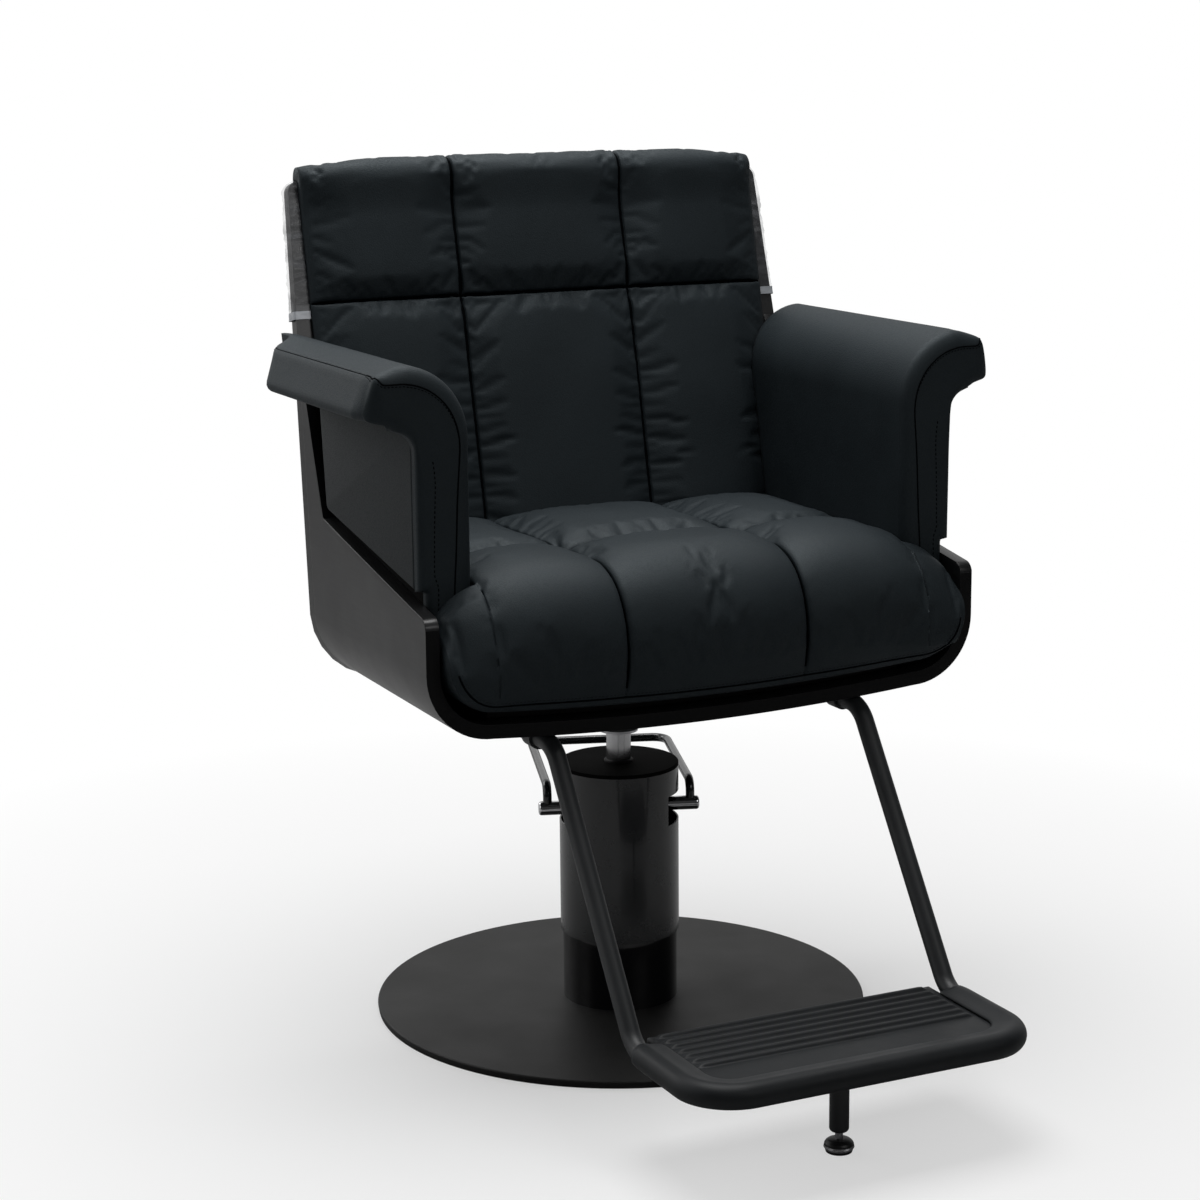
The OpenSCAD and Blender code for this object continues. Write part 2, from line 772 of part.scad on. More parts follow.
module seat_shell() {
    front = [for (s = wall_round_shares) s * wall_round / (shell_front + back_foot_y)];
    slope = [for (i = [1:slope_rings]) front[3] + (knee_share - front[3]) * i / slope_rings];
    rear = [for (i = [1:rear_rings]) knee_share + (1 - knee_share) * i / rear_rings];
    color("#101112") difference() {
        loft([for (v = concat(front, slope, rear)) shell_ring(v)]);
        plate_bolt_places() translate([0, 0, shell_z - over])
            cylinder(d = plate_bolt_d + 2 * gap, h = plate_bolt_depth + 2 * over);
    }
}

// The shell's inner wall at a depth and height
function wall_in(y, z) = drawn_in(shell_half, z, shell_share(y, z)) - shell_t;

module back_panel() {
    r = back_corner_r;
    n = 8;
    c = cos(back_lean);
    low = concat([for (i = [0:floor_steps - 1]) let (x = corner_x * i / floor_steps) [x, bow(x) / c]],
        [for (p = arc(corner_x, corner_z - shell_z, shell_r, -90, 0, corner_steps))
            [drawn_in(p[0], shell_z + p[1], 1), p[1] / c]]);
    right = concat(low, arc(back_top_half - r, back_len - r, r, 0, 90, n));
    left = [for (i = [len(right) - 1:-1:1]) [-right[i][0], right[i][1]]];
    color("#0d0e0f") on_back() translate([0, back_t, 0]) rotate([90, 0, 0])
        linear_extrude(back_t) polygon(concat(right, left));
}

module seat_board() {
    n = floor_steps;
    half = corner_x - rear_narrow;
    line = [for (i = [-n:n]) let (x = half * i / n) [x, board_foot + bow(x)]];
    depth = board_front + back_foot_y - board_inset;
    color("#3a332b") translate([0, depth - board_front, 0]) rotate([90, 0, 0]) linear_extrude(depth)
        polygon(concat(line, [for (i = [2 * n:-1:0]) line[i] + [0, board_t]]));
}

// Seat cushion: how far a point across lies between two seams, -1 to 1
function seat_across(x) =
    let (a = abs(x), half = (seat_stem_half - seam_x) / 2)
    a < seam_x ? x / seam_x : (a - seam_x - half) / half;

// Seat cushion: the height of its top
function seat_top(x, y) =
    let (a = abs(x),
        side_drop = seat_side_drop * pow(min(1, a / seat_stem_half), 6),
        along = y < -tuft_front
            ? (y + tuft_front + seat_nose_depth / 2) / (seat_nose_depth / 2 + tuft_front / 3)
            : (y - tuft_front / 5) / (tuft_front * 1.2),
        dimple = exp(-pow((a - seam_x) / (2 * tuft_depth), 2) - pow((y + tuft_front) / (2 * tuft_depth), 2)),
        shoulder = a <= seat_stem_half ? 0
            : seat_shoulder
                * (1 - sqrt(max(0, 1 - pow((a - seat_stem_half) / (seat_half - seat_stem_half), 2)))))
    seat_seam_z - side_drop - tuft_depth * dimple - shoulder
        + seat_crown * pow(max(0, pillow(seat_across(x))), across_share)
            * pow(max(0.1, pillow(along)), along_share);

// Seat cushion: the height of its underside
function seat_low(x) =
    let (a = abs(x), c = seat_half - seat_corner_r)
    seat_foot + bow(x)
        + (a <= c ? 0 : seat_corner_r - sqrt(max(0, pow(seat_corner_r, 2) - pow(a - c, 2))));

seat_wing_shares = [0.02, 0.25, 0.5, 0.72, 0.88, 0.97];
seat_across_shares = [0, 0.3, 0.6, 0.85, 0.96, 1];
seat_along_shares = [0, 0.1, 0.19, 0.25, 0.28, 0.31, 0.37, 0.5, 0.65, 0.8, 0.92];

// Seat cushion: one closed slice across X
function seat_slice(x) =
    let (a = abs(x),
        wide = a > seat_stem_half + gap / 2,
        low = seat_low(x),
        rear_low = wide ? -arm_front - gap - tuft_depth / 3 : back_y(low) - pad_depth - seat_rear_gap,
        nose_y = wide ? -arm_front - seat_wing_flat : seat_front_y + seat_nose_depth,
        rear_top = wide ? -arm_front - gap : back_y(seat_seam_z) - pad_depth - seat_rear_gap - tuft_depth,
        top_front = seat_top(x, seat_front_y + seat_nose_depth),
        puff = wide ? 0 : seat_bulge * pow(max(0, pillow(seat_across(x))), across_share),
        nose_low = max(low + over, seat_nose_z - (wide ? seat_corner_r / 4 : 0)),
        front = [for (i = [0:9]) let (t = 90 * i / 9)
            [nose_y - (nose_y - seat_front_y + puff) * pow(cos(t), nose_share),
                nose_low + (top_front - nose_low) * pow(sin(t), nose_share)]],
        top = [for (s = seat_along_shares) if (s > 0)
            wide ? [rear_top, top_front + (low + tuft_depth - top_front) * s]
                : let (y = nose_y + (rear_top - nose_y) * s) [y, seat_top(x, y)]],
        rear = wide ? [rear_top, low + tuft_depth / 2]
            : [rear_top + tuft_depth / 2, seat_top(x, rear_top) - 2 * tuft_depth])
    concat([[rear_low, low], [(rear_low + seat_front_y) / 2, low], [seat_front_y + seat_bulge, low],
            [seat_front_y, low + (nose_low - low) / 3]],
        front, top, [rear]);

module seat_cushion() {
    inner = [for (s = seat_across_shares) if (s > 0) seam_x * s];
    outer = [for (s = seat_across_shares) if (s > 0) seam_x + (seat_stem_half - seam_x) * s];
    near_seam = [seam_x + (1 - seat_across_shares[4]) * seam_x];
    wing = [for (s = seat_wing_shares)
        seat_stem_half + gap + (seat_half - seat_stem_half - gap) * s];
    right = concat([0], inner, near_seam, outer, wing);
    xs = concat([for (i = [len(right) - 1:-1:1]) -right[i]], right);
    color("#1c1f22") loft([for (x = xs) [for (p = seat_slice(x)) [x, p[0], p[1]]]]);
}

// Back cushion: how far a point lies between two seams, across and along
function back_across(x) =
    let (a = abs(x), half = (back_pad_half - seam_x) / 2)
    a < seam_x ? x / seam_x : (a - seam_x - half) / half;

function back_along(s) =
    let (seam = back_len - cross_seam_drop, top = back_len + back_pad_rise)
    s > seam ? (s - (seam + top) / 2) / ((top - seam) / 2)
        : (s - (back_pad_foot + seam) / 2) / ((seam - back_pad_foot) / 2);

// Back cushion: its thickness at a point
function back_pad_depth(x, s) =
    let (past = s - back_len + 2 * back_pad_rise,
        lift = back_pad_seam_t * top_lift_share * smooth(past / (3 * back_pad_rise)))
    back_pad_seam_t + lift
        + back_pad_crown * pow(max(0, pillow(back_across(x))), back_across_share)
            * pow(max(0, pillow(back_along(s))), back_along_share);

back_outer_shares = [0.15, 0.4, 0.65, 0.88, 0.97, 1];
back_along_shares = [0, 0.04, 0.14, 0.3, 0.5, 0.7, 0.86, 0.96, 1];

// Back cushion: one closed slice across X, as depth behind the panel's face and height along it
function back_slice(x) =
    let (seam = back_len - cross_seam_drop,
        a = abs(x) / back_pad_half,
        top = back_len + back_pad_rise - back_ear_drop * pow(a, 4),
        roll = back_t * roll_seat_share,
        lower = [for (f = back_along_shares) back_pad_foot + (seam - back_pad_foot) * f],
        upper = [for (f = back_along_shares) if (f > 0 && f < 0.96) seam + (back_len - seam) * f])
    concat(
        [for (q = concat(lower, upper)) [0, q + gap]],
        [[0, back_len + gap], [roll, back_len + gap]],
        [for (t = [20:28:160])
            [roll * cos(t) - back_pad_seam_t * sin(t), back_len + (top - back_len) * sin(t)]],
        [for (i = [len(upper) - 1:-1:0]) [-back_pad_depth(x, upper[i]), upper[i]]],
        [for (i = [len(lower) - 1:-1:1]) [-back_pad_depth(x, lower[i]), lower[i]]],
        [[-back_pad_seam_t, back_pad_foot]]);

module back_cushion() {
    inner = [for (s = seat_across_shares) if (s > 0) seam_x * s];
    near_seam = [seam_x + (1 - seat_across_shares[4]) * seam_x];
    outer = [for (s = back_outer_shares) seam_x + (back_pad_half - seam_x) * s];
    right = concat([0], inner, near_seam, outer);
    xs = concat([for (i = [len(right) - 1:-1:1]) -right[i]], right);
    color("#1c1f22") on_back()
        loft([for (x = xs) [for (p = back_slice(x)) [x, p[0], p[1]]]]);
}

// Arm pad: the depth of its rear face at a height
function arm_rear(z) = back_y(z) - back_pad_seam_t - back_pad_crown * arm_rear_share;

// Arm pad: one section seen from the front, for the side with positive x. It lies at a depth under
// the pad's top, is shrunk by inset, covers the side panel's edge where strip is 1, and ends at x_max.
function arm_ring(y, inset, strip, x_max) =
    let (in = arm_in + inset,
        top = arm_top - inset,
        out = lip_out - inset,
        low = lip_low + inset,
        r = arm_roll_r - inset,
        step = wall_edge(-arm_front) + shadow_gap + inset,
        v = (y + arm_front) / (arm_rear(arm_top) + arm_front),
        section = concat(
            [for (p = [[0, arm_low + inset], [0, step],
                    [strip, step + inset / 2 + over], [strip, lip_seat + inset / 2]])
                [p[0] == 1 ? panel_out - inset
                    : wall_in(y, p[1]) - gap - inset - (1 - strip) * (arm_board_t + gap), p[1]]],
            [for (p = arc(panel_out + lip_fillet, lip_low - lip_fillet, lip_fillet, 140, 100, 2))
                p + [0, inset]],
            arc(out - lip_low_r, low + lip_low_r, lip_low_r, -80, 10, 3),
            arc(out - lip_slant - lip_top_r, top - lip_top_drop - lip_top_r, lip_top_r, 10, 80, 4),
            arc(in + r, top - r, r, 92, 180, 8),
            [[in, (top - r + arm_low) / 2], [in, arm_low + inset]]))
    [for (p = section) [min(p[0], x_max), -arm_front + v * (arm_rear(p[1]) + arm_front), p[1]]];

module arm_pad() {
    rear = arm_rear(arm_top);
    open = lip_out + over;
    round_y = lip_rear_y - lip_rear_r;
    front = [for (s = arm_round_shares)
        arm_ring(-arm_front + arm_round * (1 - s), arm_round * s * s, 1, open)];
    strip_end = -arm_front + arm_strip;
    body = [arm_ring(strip_end, 0, 1, open), arm_ring(strip_end + gap, 0, 0, open),
        arm_ring((strip_end + round_y) / 2, 0, 0, open)];
    lip_end = [for (a = lip_end_angles)
        arm_ring(round_y + lip_rear_r * sin(a), 0, 0, lip_out - lip_rear_r * (1 - cos(a)))];
    narrow = lip_out - lip_rear_r;
    back = [arm_ring(rear - arm_round / 2, 0, 0, narrow), arm_ring(rear, arm_round / 3, 0, narrow)];
    loft(concat(front, body, lip_end, back));
}

// Board that stands in the shell and carries the arm pad and the side panel
module arm_board() {
    steps = 3;
    front = -arm_front + arm_strip + gap;
    rear_foot = wall_knee_y + arm_board_t;
    rear_top = meet_y(lip_seat) + arm_board_t / 2;
    low_z = arm_low;
    high_z = lip_seat - gap;
    loft([for (i = [0:steps]) let (foot = front + (rear_foot - front) * i / steps,
            top = front + (rear_top - front) * i / steps,
            line = [for (j = [0:steps])
                [foot + (top - foot) * j / steps, low_z + (high_z - low_z) * j / steps]])
        concat([for (p = line) [wall_in(p[0], p[1]) - gap - arm_board_t, p[0], p[1]]],
            [for (j = [steps:-1:0]) let (p = line[j]) [wall_in(p[0], p[1]) - gap, p[0], p[1]]])]);
}

// The depth of the shell's run-out at a height
function meet_y(z) = wall_knee_y
    + (back_y(shell_z + wall_end_h) - wall_knee_y)
        * (z - shell_z - wall_knee_h) / (wall_end_h - wall_knee_h);

module arm_board_left() {
    color("#121314") mirror([1, 0, 0]) arm_board();
}

module arm_board_right() {
    color("#121314") arm_board();
}

module arm_pad_left() {
    color("#1c1f22") mirror([1, 0, 0]) arm_pad();
}

module arm_pad_right() {
    color("#1c1f22") arm_pad();
}

// The height of the shell's sloping edge at a depth
function wall_edge(y) = shell_z + wall_front_h
    + (wall_knee_h - wall_front_h) * (y + shell_front) / (wall_knee_y + shell_front);

// Upholstered panel that fills the shell's cut-out under the lip
module arm_side_panel() {
    c = panel_corner;
    front = -arm_front + arm_strip + 2 * gap;
    slope = atan2(wall_knee_h - wall_front_h, wall_knee_y + shell_front);
    low_front = wall_edge(front) + shadow_gap;
    low_rear = wall_edge(panel_rear) + shadow_gap;
    top = lip_seat - gap;
    translate([panel_in, 0, 0]) rotate([90, 0, 90]) linear_extrude(side_panel_t)
        polygon(concat(
            [[front, low_front]],
            arc(panel_rear - c, low_rear + c, c, 270 + slope, 360, 4),
            [[panel_rear + (top - low_rear) * tan(back_lean / 2), top], [front, top]]));
}

module arm_side_panel_left() {
    color("#202326") mirror([1, 0, 0]) arm_side_panel();
}

module arm_side_panel_right() {
    color("#202326") arm_side_panel();
}

// Clear cover: one section across the back panel at a height along it
function cover_ring(s) =
    let (w = shell_half - (shell_half - back_top_half) * s / back_len,
        in = back_pad_half + 2 * gap,
        c = gap + cover_t,
        half = [[in, -c], [w + c, -c], [w + c, back_t + c]])
    concat(half, [for (i = [2:-1:0]) [-half[i][0], half[i][1]]],
        [[-in, -gap], [-w - gap, -gap], [-w - gap, back_t + gap],
            [w + gap, back_t + gap], [w + gap, -gap], [in, -gap]]);

module clear_back_cover() {
    foot = back_len - cover_h / cos(back_lean);
    top = back_len - back_corner_r;
    color("#b8c0c8", 0.35) on_back()
        loft([for (s = [foot, top]) [for (p = cover_ring(s)) [p[0], p[1], s]]]);
}

// The middle line of half the footrest's tube, from under the shell to its front corner
function half_path() =
    let (upper = arc(-slope_top_y + bend_len, run_z - tube_bend_r, tube_bend_r, 90, 90 + bend_turn, 6),
        lower = arc(-foot_bend_y - bend_len, foot_z + tube_bend_r, tube_bend_r, bend_turn - 90, -90, 6),
        corner = arc(tube_half_w - tube_corner_r, tube_corner_r - foot_front, tube_corner_r, 0, -90, 8))
    concat([[tube_half_w, -run_rear, run_z]], [for (p = concat(upper, lower)) [tube_half_w, p[0], p[1]]],
        [for (p = corner) [p[0], p[1], foot_z]]);

module footrest_tube() {
    right = half_path();
    left = [for (i = [len(right) - 1:-1:0]) flip_x(right[i])];
    color("#222426") sweep(concat(right, left), tube_r, tube_sides, [1, 0, 0]);
}

// Places of the four saddle clamps that hold the tube under the shell
module clamp_places() {
    for (y = [-clamp_front_y, -clamp_rear_y], x = [-tube_half_w, tube_half_w])
        translate([x, y, run_z]) children();
}

module tube_clamps() {
    r_in = tube_r + gap;
    r_out = r_in + clamp_t;
    ear = r_out + clamp_ear;
    ear_top = tube_r - clamp_drop;
    color("#2b2d30") clamp_places() rotate([90, 0, 0]) translate([0, 0, -clamp_w / 2]) difference() {
        union() {
            cylinder(r = r_out, h = clamp_w);
            translate([-r_out, 0, 0]) cube([2 * r_out, ear_top, clamp_w]);
            translate([-ear, ear_top - clamp_t, 0]) cube([2 * ear, clamp_t, clamp_w]);
        }
        translate([0, 0, -over]) cylinder(r = r_in, h = clamp_w + 2 * over);
        translate([-r_in, 0, -over]) cube([2 * r_in, 2 * tube_r, clamp_w + 2 * over]);
        translate([-ear - over, ear_top, -over]) cube([2 * (ear + over), 2 * tube_r, clamp_w + 2 * over]);
        for (x = [-1, 1]) translate([x * (r_out + clamp_ear / 2), -over, clamp_w / 2])
            rotate([-90, 0, 0]) cylinder(d = clamp_screw_d + gap, h = 2 * tube_r);
    }
}

module clamp_screws() {
    x = tube_r + gap + clamp_t + clamp_ear / 2;
    foot = tube_r - clamp_drop - clamp_t;
    color("#8b8d90") clamp_places() for (side = [-1, 1]) translate([side * x, 0, foot - clamp_head_t]) {
        rotate_extrude() polygon(concat([[0, clamp_head_t]], [[clamp_head_d / 2, clamp_head_t]],
            arc(clamp_head_d / 2 - clamp_head_t, clamp_head_t, clamp_head_t, 0, -90, 5), [[0, 0]]));
        translate([0, 0, clamp_head_t]) cylinder(d = clamp_screw_d, h = clamp_t);
    }
}

// The outline of the foot pad and its tray, square at the rear and rounded in front
module foot_outline(inset) {
    half = pad_half - inset;
    r = pad_corner - inset;
    polygon(concat([[half, -foot_rear], [-half, -foot_rear]],
        arc(r - half, inset + r - pad_front, r, 180, 270, 8),
        arc(half - r, inset + r - pad_front, r, 270, 360, 8)));
}

module foot_tray() {
    color("#1d1f21") translate([0, 0, tray_z]) linear_extrude(tray_t) foot_outline(0);
}

module foot_pad() {
    foot = tray_z + tray_t;
    top = foot + foot_pad_t;
    edge = foot_pad_t / 3;
    rib_len = 2 * (pad_half - rib_margin);
    color("#2a2c2e") {
        translate([0, 0, foot]) linear_extrude(foot_pad_t - edge) foot_outline(0);
        translate([0, 0, top - edge]) linear_extrude(edge) foot_outline(edge);
        for (i = [0:rib_count - 1])
            translate([0, -foot_rear - rib_first - i * rib_pitch, top])
                rotate([0, 90, 0]) scale([rib_h / rib_w * 2, 1, 1])
                    cylinder(d = rib_w, h = rib_len, center = true);
    }
}

module footrest_leg() {
    top = tray_z;
    inner = stud_d / 2 + tube_wall;
    color("#222426") translate([0, -leg_front, 0]) rotate_extrude() polygon(concat(
        [[inner, leg_foot]], arc(leg_r - leg_round, leg_foot + leg_round, leg_round, -90, 0, 6),
        [[leg_r, top], [inner, top]]));
}

module leg_insert() {
    r = stud_d / 2 + tube_wall - gap;
    color("#77797c") translate([0, -leg_front, leg_foot + insert_inset]) difference() {
        cylinder(r = r, h = insert_len);
        translate([0, 0, -over]) cylinder(r = stud_d / 2 + fit, h = insert_len + 2 * over);
    }
}

module glide_stud() {
    color("#c9cbcd") translate([0, -leg_front, glide_h]) cylinder(d = stud_d, h = stud_len);
}

module glide_pad() {
    r = glide_d / 2;
    brim = sole_t + glide_h * brim_share;
    dome = r * glide_rim_share - stud_d / 2;
    color("#4b4d50") translate([0, -leg_front, 0]) rotate_extrude() polygon(concat(
        [[0, sole_t], [r * sole_top_share, sole_t], [r, sole_t + (brim - sole_t) / 2]],
        [for (t = [0:15:75]) [stud_d / 2 + dome * cos(t), brim + (glide_h - brim) * sin(t)]],
        [[stud_d / 2, glide_h], [0, glide_h]]));
}

module glide_sole() {
    r = glide_d / 2;
    color("#141414") translate([0, -leg_front, 0])
        cylinder(r1 = r * sole_foot_share, r2 = r * sole_top_share, h = sole_t);
}

base_plate();
flange_screws();
pump_flange();
pump_cylinder();
cylinder_gland();
pump_body();
pedal_bushes();
lower_sleeve();
upper_sleeve();
column_cap();
rod_seal();
pedal_shafts();
pedal_crank();
pedal_loop();
pump_plunger();
piston_rod();
piston_head();
thrust_washer();
swivel_hub();
seat_plate();
seat_plate_bolts();
seat_shell();
back_panel();
seat_board();
seat_cushion();
back_cushion();
arm_pad_left();
arm_pad_right();
arm_board_left();
arm_board_right();
arm_side_panel_left();
arm_side_panel_right();
clear_back_cover();
footrest_tube();
tube_clamps();
clamp_screws();
foot_tray();
foot_pad();
footrest_leg();
leg_insert();
glide_stud();
glide_pad();
glide_sole();
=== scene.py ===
import math

import bmesh
import bpy
import numpy as np
from mathutils import Matrix, Vector, noise
from mathutils.bvhtree import BVHTree

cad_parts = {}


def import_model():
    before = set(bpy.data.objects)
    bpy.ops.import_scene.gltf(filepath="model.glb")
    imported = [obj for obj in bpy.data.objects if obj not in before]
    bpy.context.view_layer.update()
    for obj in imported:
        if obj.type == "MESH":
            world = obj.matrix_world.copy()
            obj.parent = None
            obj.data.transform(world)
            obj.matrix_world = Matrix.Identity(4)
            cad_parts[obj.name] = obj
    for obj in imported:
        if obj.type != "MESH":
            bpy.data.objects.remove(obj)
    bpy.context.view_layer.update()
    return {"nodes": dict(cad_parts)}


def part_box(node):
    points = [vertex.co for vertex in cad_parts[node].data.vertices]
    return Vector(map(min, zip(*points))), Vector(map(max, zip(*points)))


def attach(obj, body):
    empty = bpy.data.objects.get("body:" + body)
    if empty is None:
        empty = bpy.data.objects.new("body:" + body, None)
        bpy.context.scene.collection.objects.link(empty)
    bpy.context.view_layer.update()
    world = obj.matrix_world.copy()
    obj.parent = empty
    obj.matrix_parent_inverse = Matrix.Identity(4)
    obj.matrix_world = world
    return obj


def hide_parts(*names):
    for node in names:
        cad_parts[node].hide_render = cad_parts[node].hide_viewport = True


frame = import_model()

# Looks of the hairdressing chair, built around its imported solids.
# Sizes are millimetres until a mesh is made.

nodes = frame["nodes"]

MM = 0.001

# Seat shell and back, as in the solids
SHELL_W = 646
SHELL_FRONT = 226
SHELL_Z = 382
SHELL_T = 15
SHELL_R = 72
SHELL_BOW = 10
WALL_FRONT_H = 139
WALL_KNEE_H = 194
WALL_KNEE_Y = 90
WALL_END_H = 378
WALL_ROUND = 10
REAR_NARROW = 5
BACK_LEAN = math.radians(13)
BACK_FOOT_Y = 98
BACK_H = 553
BACK_TOP_W = 592
BACK_T = 15
BACK_CORNER_R = 12
GAP = 0.3
SHELL_HALF = SHELL_W / 2
CORNER_X = SHELL_HALF - SHELL_R
CORNER_Z = SHELL_Z + SHELL_BOW + SHELL_R
BACK_LEN = BACK_H / math.cos(BACK_LEAN)
TAPER = (SHELL_HALF - REAR_NARROW - BACK_TOP_W / 2) / (SHELL_Z + BACK_H - CORNER_Z)

# Cushions
SEAM_X = 106
SEAM_Y = -77
SEAT_FOOT = SHELL_Z + SHELL_T + 14 + 2 * GAP
SEAT_TOP = SHELL_Z + 174
SEAT_STEM = 253
SEAT_HALF = 305
SEAT_CORNER_R = 55
SEAT_NOSE_Y = -242
SEAT_NOSE_DEPTH = 92
SEAT_NOSE_RISE = 42
SEAT_BULGE = 9
SEAT_CROWN = 13
SEAT_SEAM_DROP = 5
SHOULDER_X = 236
SEAT_SHOULDER = 41
SEAT_SIDE_DROP = 10
TUFT_DEPTH = 9
TUFT_R = 15
BACK_PAD_HALF = 285
BACK_PAD_FOOT = 60
BACK_PAD_SEAM_T = 6
BACK_PAD_CROWN = 17
BACK_PAD_RISE = 23
CROSS_SEAM = BACK_LEN - 139

# Arms
ARM_IN = 255
ARM_FRONT = 192
ARM_LOW = CORNER_Z + 2 * GAP
ARM_TOP = SHELL_Z + 391
ARM_ROLL_R = 75
LIP_OUT = 372
LIP_LOW = SHELL_Z + 336
PANEL_OUT = SHELL_HALF - SHELL_T + 8

# Footrest
TUBE_R = 10
TUBE_HALF_W = 183
TUBE_SLOPE = math.radians(34.3)
TUBE_BEND_R = 38
TUBE_CORNER_R = 49
FOOT_Z = 108
FOOT_FRONT = 562


def smooth(t):
    u = np.clip(t, 0, 1)
    return u * u * (3 - 2 * u)


def back_y(z):
    return BACK_FOOT_Y + (z - SHELL_Z) * math.tan(BACK_LEAN)


def on_back(x, depth, along):
    """A point given across, behind the back panel's face and up along it."""
    c, s = math.cos(BACK_LEAN), math.sin(BACK_LEAN)
    y = BACK_FOOT_Y + depth * c + along * s
    return np.stack([x + 0 * depth, y, SHELL_Z - depth * s + along * c], -1)


def arc(cx, cy, r, a0, a1, n):
    a = np.radians(np.linspace(a0, a1, n + 1))
    return np.stack([cx + r * np.cos(a), cy + r * np.sin(a)], -1)


def resample(line, n):
    """The polyline with n points at equal distances along it."""
    line = np.asarray(line, float)
    d = np.concatenate([[0], np.cumsum(np.linalg.norm(np.diff(line, axis=0), axis=1))])
    t = np.linspace(0, d[-1], n)
    return np.stack([np.interp(t, d, line[:, i]) for i in range(line.shape[1])], -1)


def new_mesh(name, points, faces, smooth_shade=True):
    mesh = bpy.data.meshes.new(name)
    mesh.from_pydata([tuple(p) for p in np.asarray(points, float) * MM], [], faces)
    mesh.validate()
    mesh.update()
    obj = bpy.data.objects.new(name, mesh)
    bpy.context.scene.collection.objects.link(obj)
    if smooth_shade:
        mesh.shade_smooth()
    return obj


def outward(obj):
    """Turns the faces of a closed mesh to the outside."""
    bm = bmesh.new()
    bm.from_mesh(obj.data)
    bmesh.ops.recalc_face_normals(bm, faces=bm.faces)
    bm.to_mesh(obj.data)
    bm.free()
    return obj


def loft(name, rings, caps=True):
    """A closed skin through equal closed rings of points."""
    rings = np.asarray(rings, float)
    n, k = rings.shape[:2]
    faces = []
    for j in range(n - 1):
        for i in range(k):
            a, b = j * k + i, j * k + (i + 1) % k
            faces.append((a, b, b + k, a + k))
    if caps:
        faces.append(tuple(range(k - 1, -1, -1)))
        faces.append(tuple((n - 1) * k + i for i in range(k)))
    return outward(new_mesh(name, rings.reshape(-1, 3), faces))


def tube(name, path, r, sides=24, caps=True):
    """A round bar along a path of points."""
    path = np.asarray(path, float)
    d = np.gradient(path, axis=0)
    d /= np.linalg.norm(d, axis=1)[:, None]
    u = np.cross(d[0], [0.31, 0.17, 0.93])
    rings = []
    for p, t in zip(path, d):
        u = u - (u @ t) * t
        u /= np.linalg.norm(u)
        w = np.cross(t, u)
        a = np.linspace(0, 2 * math.pi, sides, endpoint=False)[:, None]
        rings.append(p + r * (np.cos(a) * u + np.sin(a) * w))
    return loft(name, rings, caps)


def bevel(obj, width, segments=3, angle=35):
    """Rounds the edges of a piece."""
    m = obj.modifiers.new("edges", "BEVEL")
    m.width = width * MM
    m.segments = segments
    m.limit_method = "ANGLE"
    m.angle_limit = math.radians(angle)
    m.harden_normals = False
    return obj


# Materials


def add_node(tree, kind, inputs=None, **attributes):
    """A new node, with values or other nodes' outputs at its inputs."""
    n = tree.nodes.new(kind)
    for k, v in attributes.items():
        setattr(n, k, v)
    for k, v in (inputs or {}).items():
        if hasattr(v, "is_output"):
            tree.links.new(v, n.inputs[k])
        else:
            n.inputs[k].default_value = v
    return n


class Shader:
    """A small helper that adds nodes to a material."""

    def __init__(self, name, color, roughness, metallic=0.0):
        self.material = bpy.data.materials.new(name)
        self.material.use_nodes = True
        self.tree = self.material.node_tree
        self.bsdf = self.tree.nodes["Principled BSDF"]
        self.set("Base Color", (*color, 1))
        self.set("Roughness", roughness)
        self.set("Metallic", metallic)
        self.coord = self.node("ShaderNodeTexCoord").outputs["Object"]

    def set(self, socket, value):
        self.bsdf.inputs[socket].default_value = value

    def node(self, kind, inputs=None, **attributes):
        return add_node(self.tree, kind, inputs, **attributes)

    def scaled(self, scale):
        return self.node("ShaderNodeMapping", {"Vector": self.coord, "Scale": scale}).outputs[0]

    def noise(self, size_mm, detail=4, rough=0.55, vector=None):
        return self.node("ShaderNodeTexNoise", {"Vector": vector or self.coord, "Scale": 1000 / size_mm,
                                                "Detail": detail, "Roughness": rough}).outputs["Fac"]

    def cells(self, size_mm, feature="F1", vector=None):
        return self.node("ShaderNodeTexVoronoi", {"Vector": vector or self.coord, "Scale": 1000 / size_mm},
                         feature=feature).outputs["Distance"]

    def ramp(self, fac, low, high, out_low, out_high):
        return self.node("ShaderNodeMapRange", {"Value": fac, "From Min": low, "From Max": high,
                                                "To Min": out_low, "To Max": out_high}).outputs[0]

    def math(self, operation, a, b):
        return self.node("ShaderNodeMath", {0: a, 1: b}, operation=operation).outputs[0]

    def mix(self, fac, a, b):
        m = self.node("ShaderNodeMix", data_type="RGBA")
        self.tree.links.new(fac, m.inputs[0])
        m.inputs[6].default_value = (*a, 1)
        m.inputs[7].default_value = (*b, 1)
        return m.outputs[2]

    def link(self, socket, output):
        self.tree.links.new(output, self.bsdf.inputs[socket])

    def bump(self, height, strength, distance_mm):
        b = self.node("ShaderNodeBump", {"Height": height, "Strength": strength,
                                         "Distance": distance_mm * MM})
        previous = self.bsdf.inputs["Normal"].links
        if previous:
            self.tree.links.new(previous[0].from_socket, b.inputs["Normal"])
        self.link("Normal", b.outputs[0])


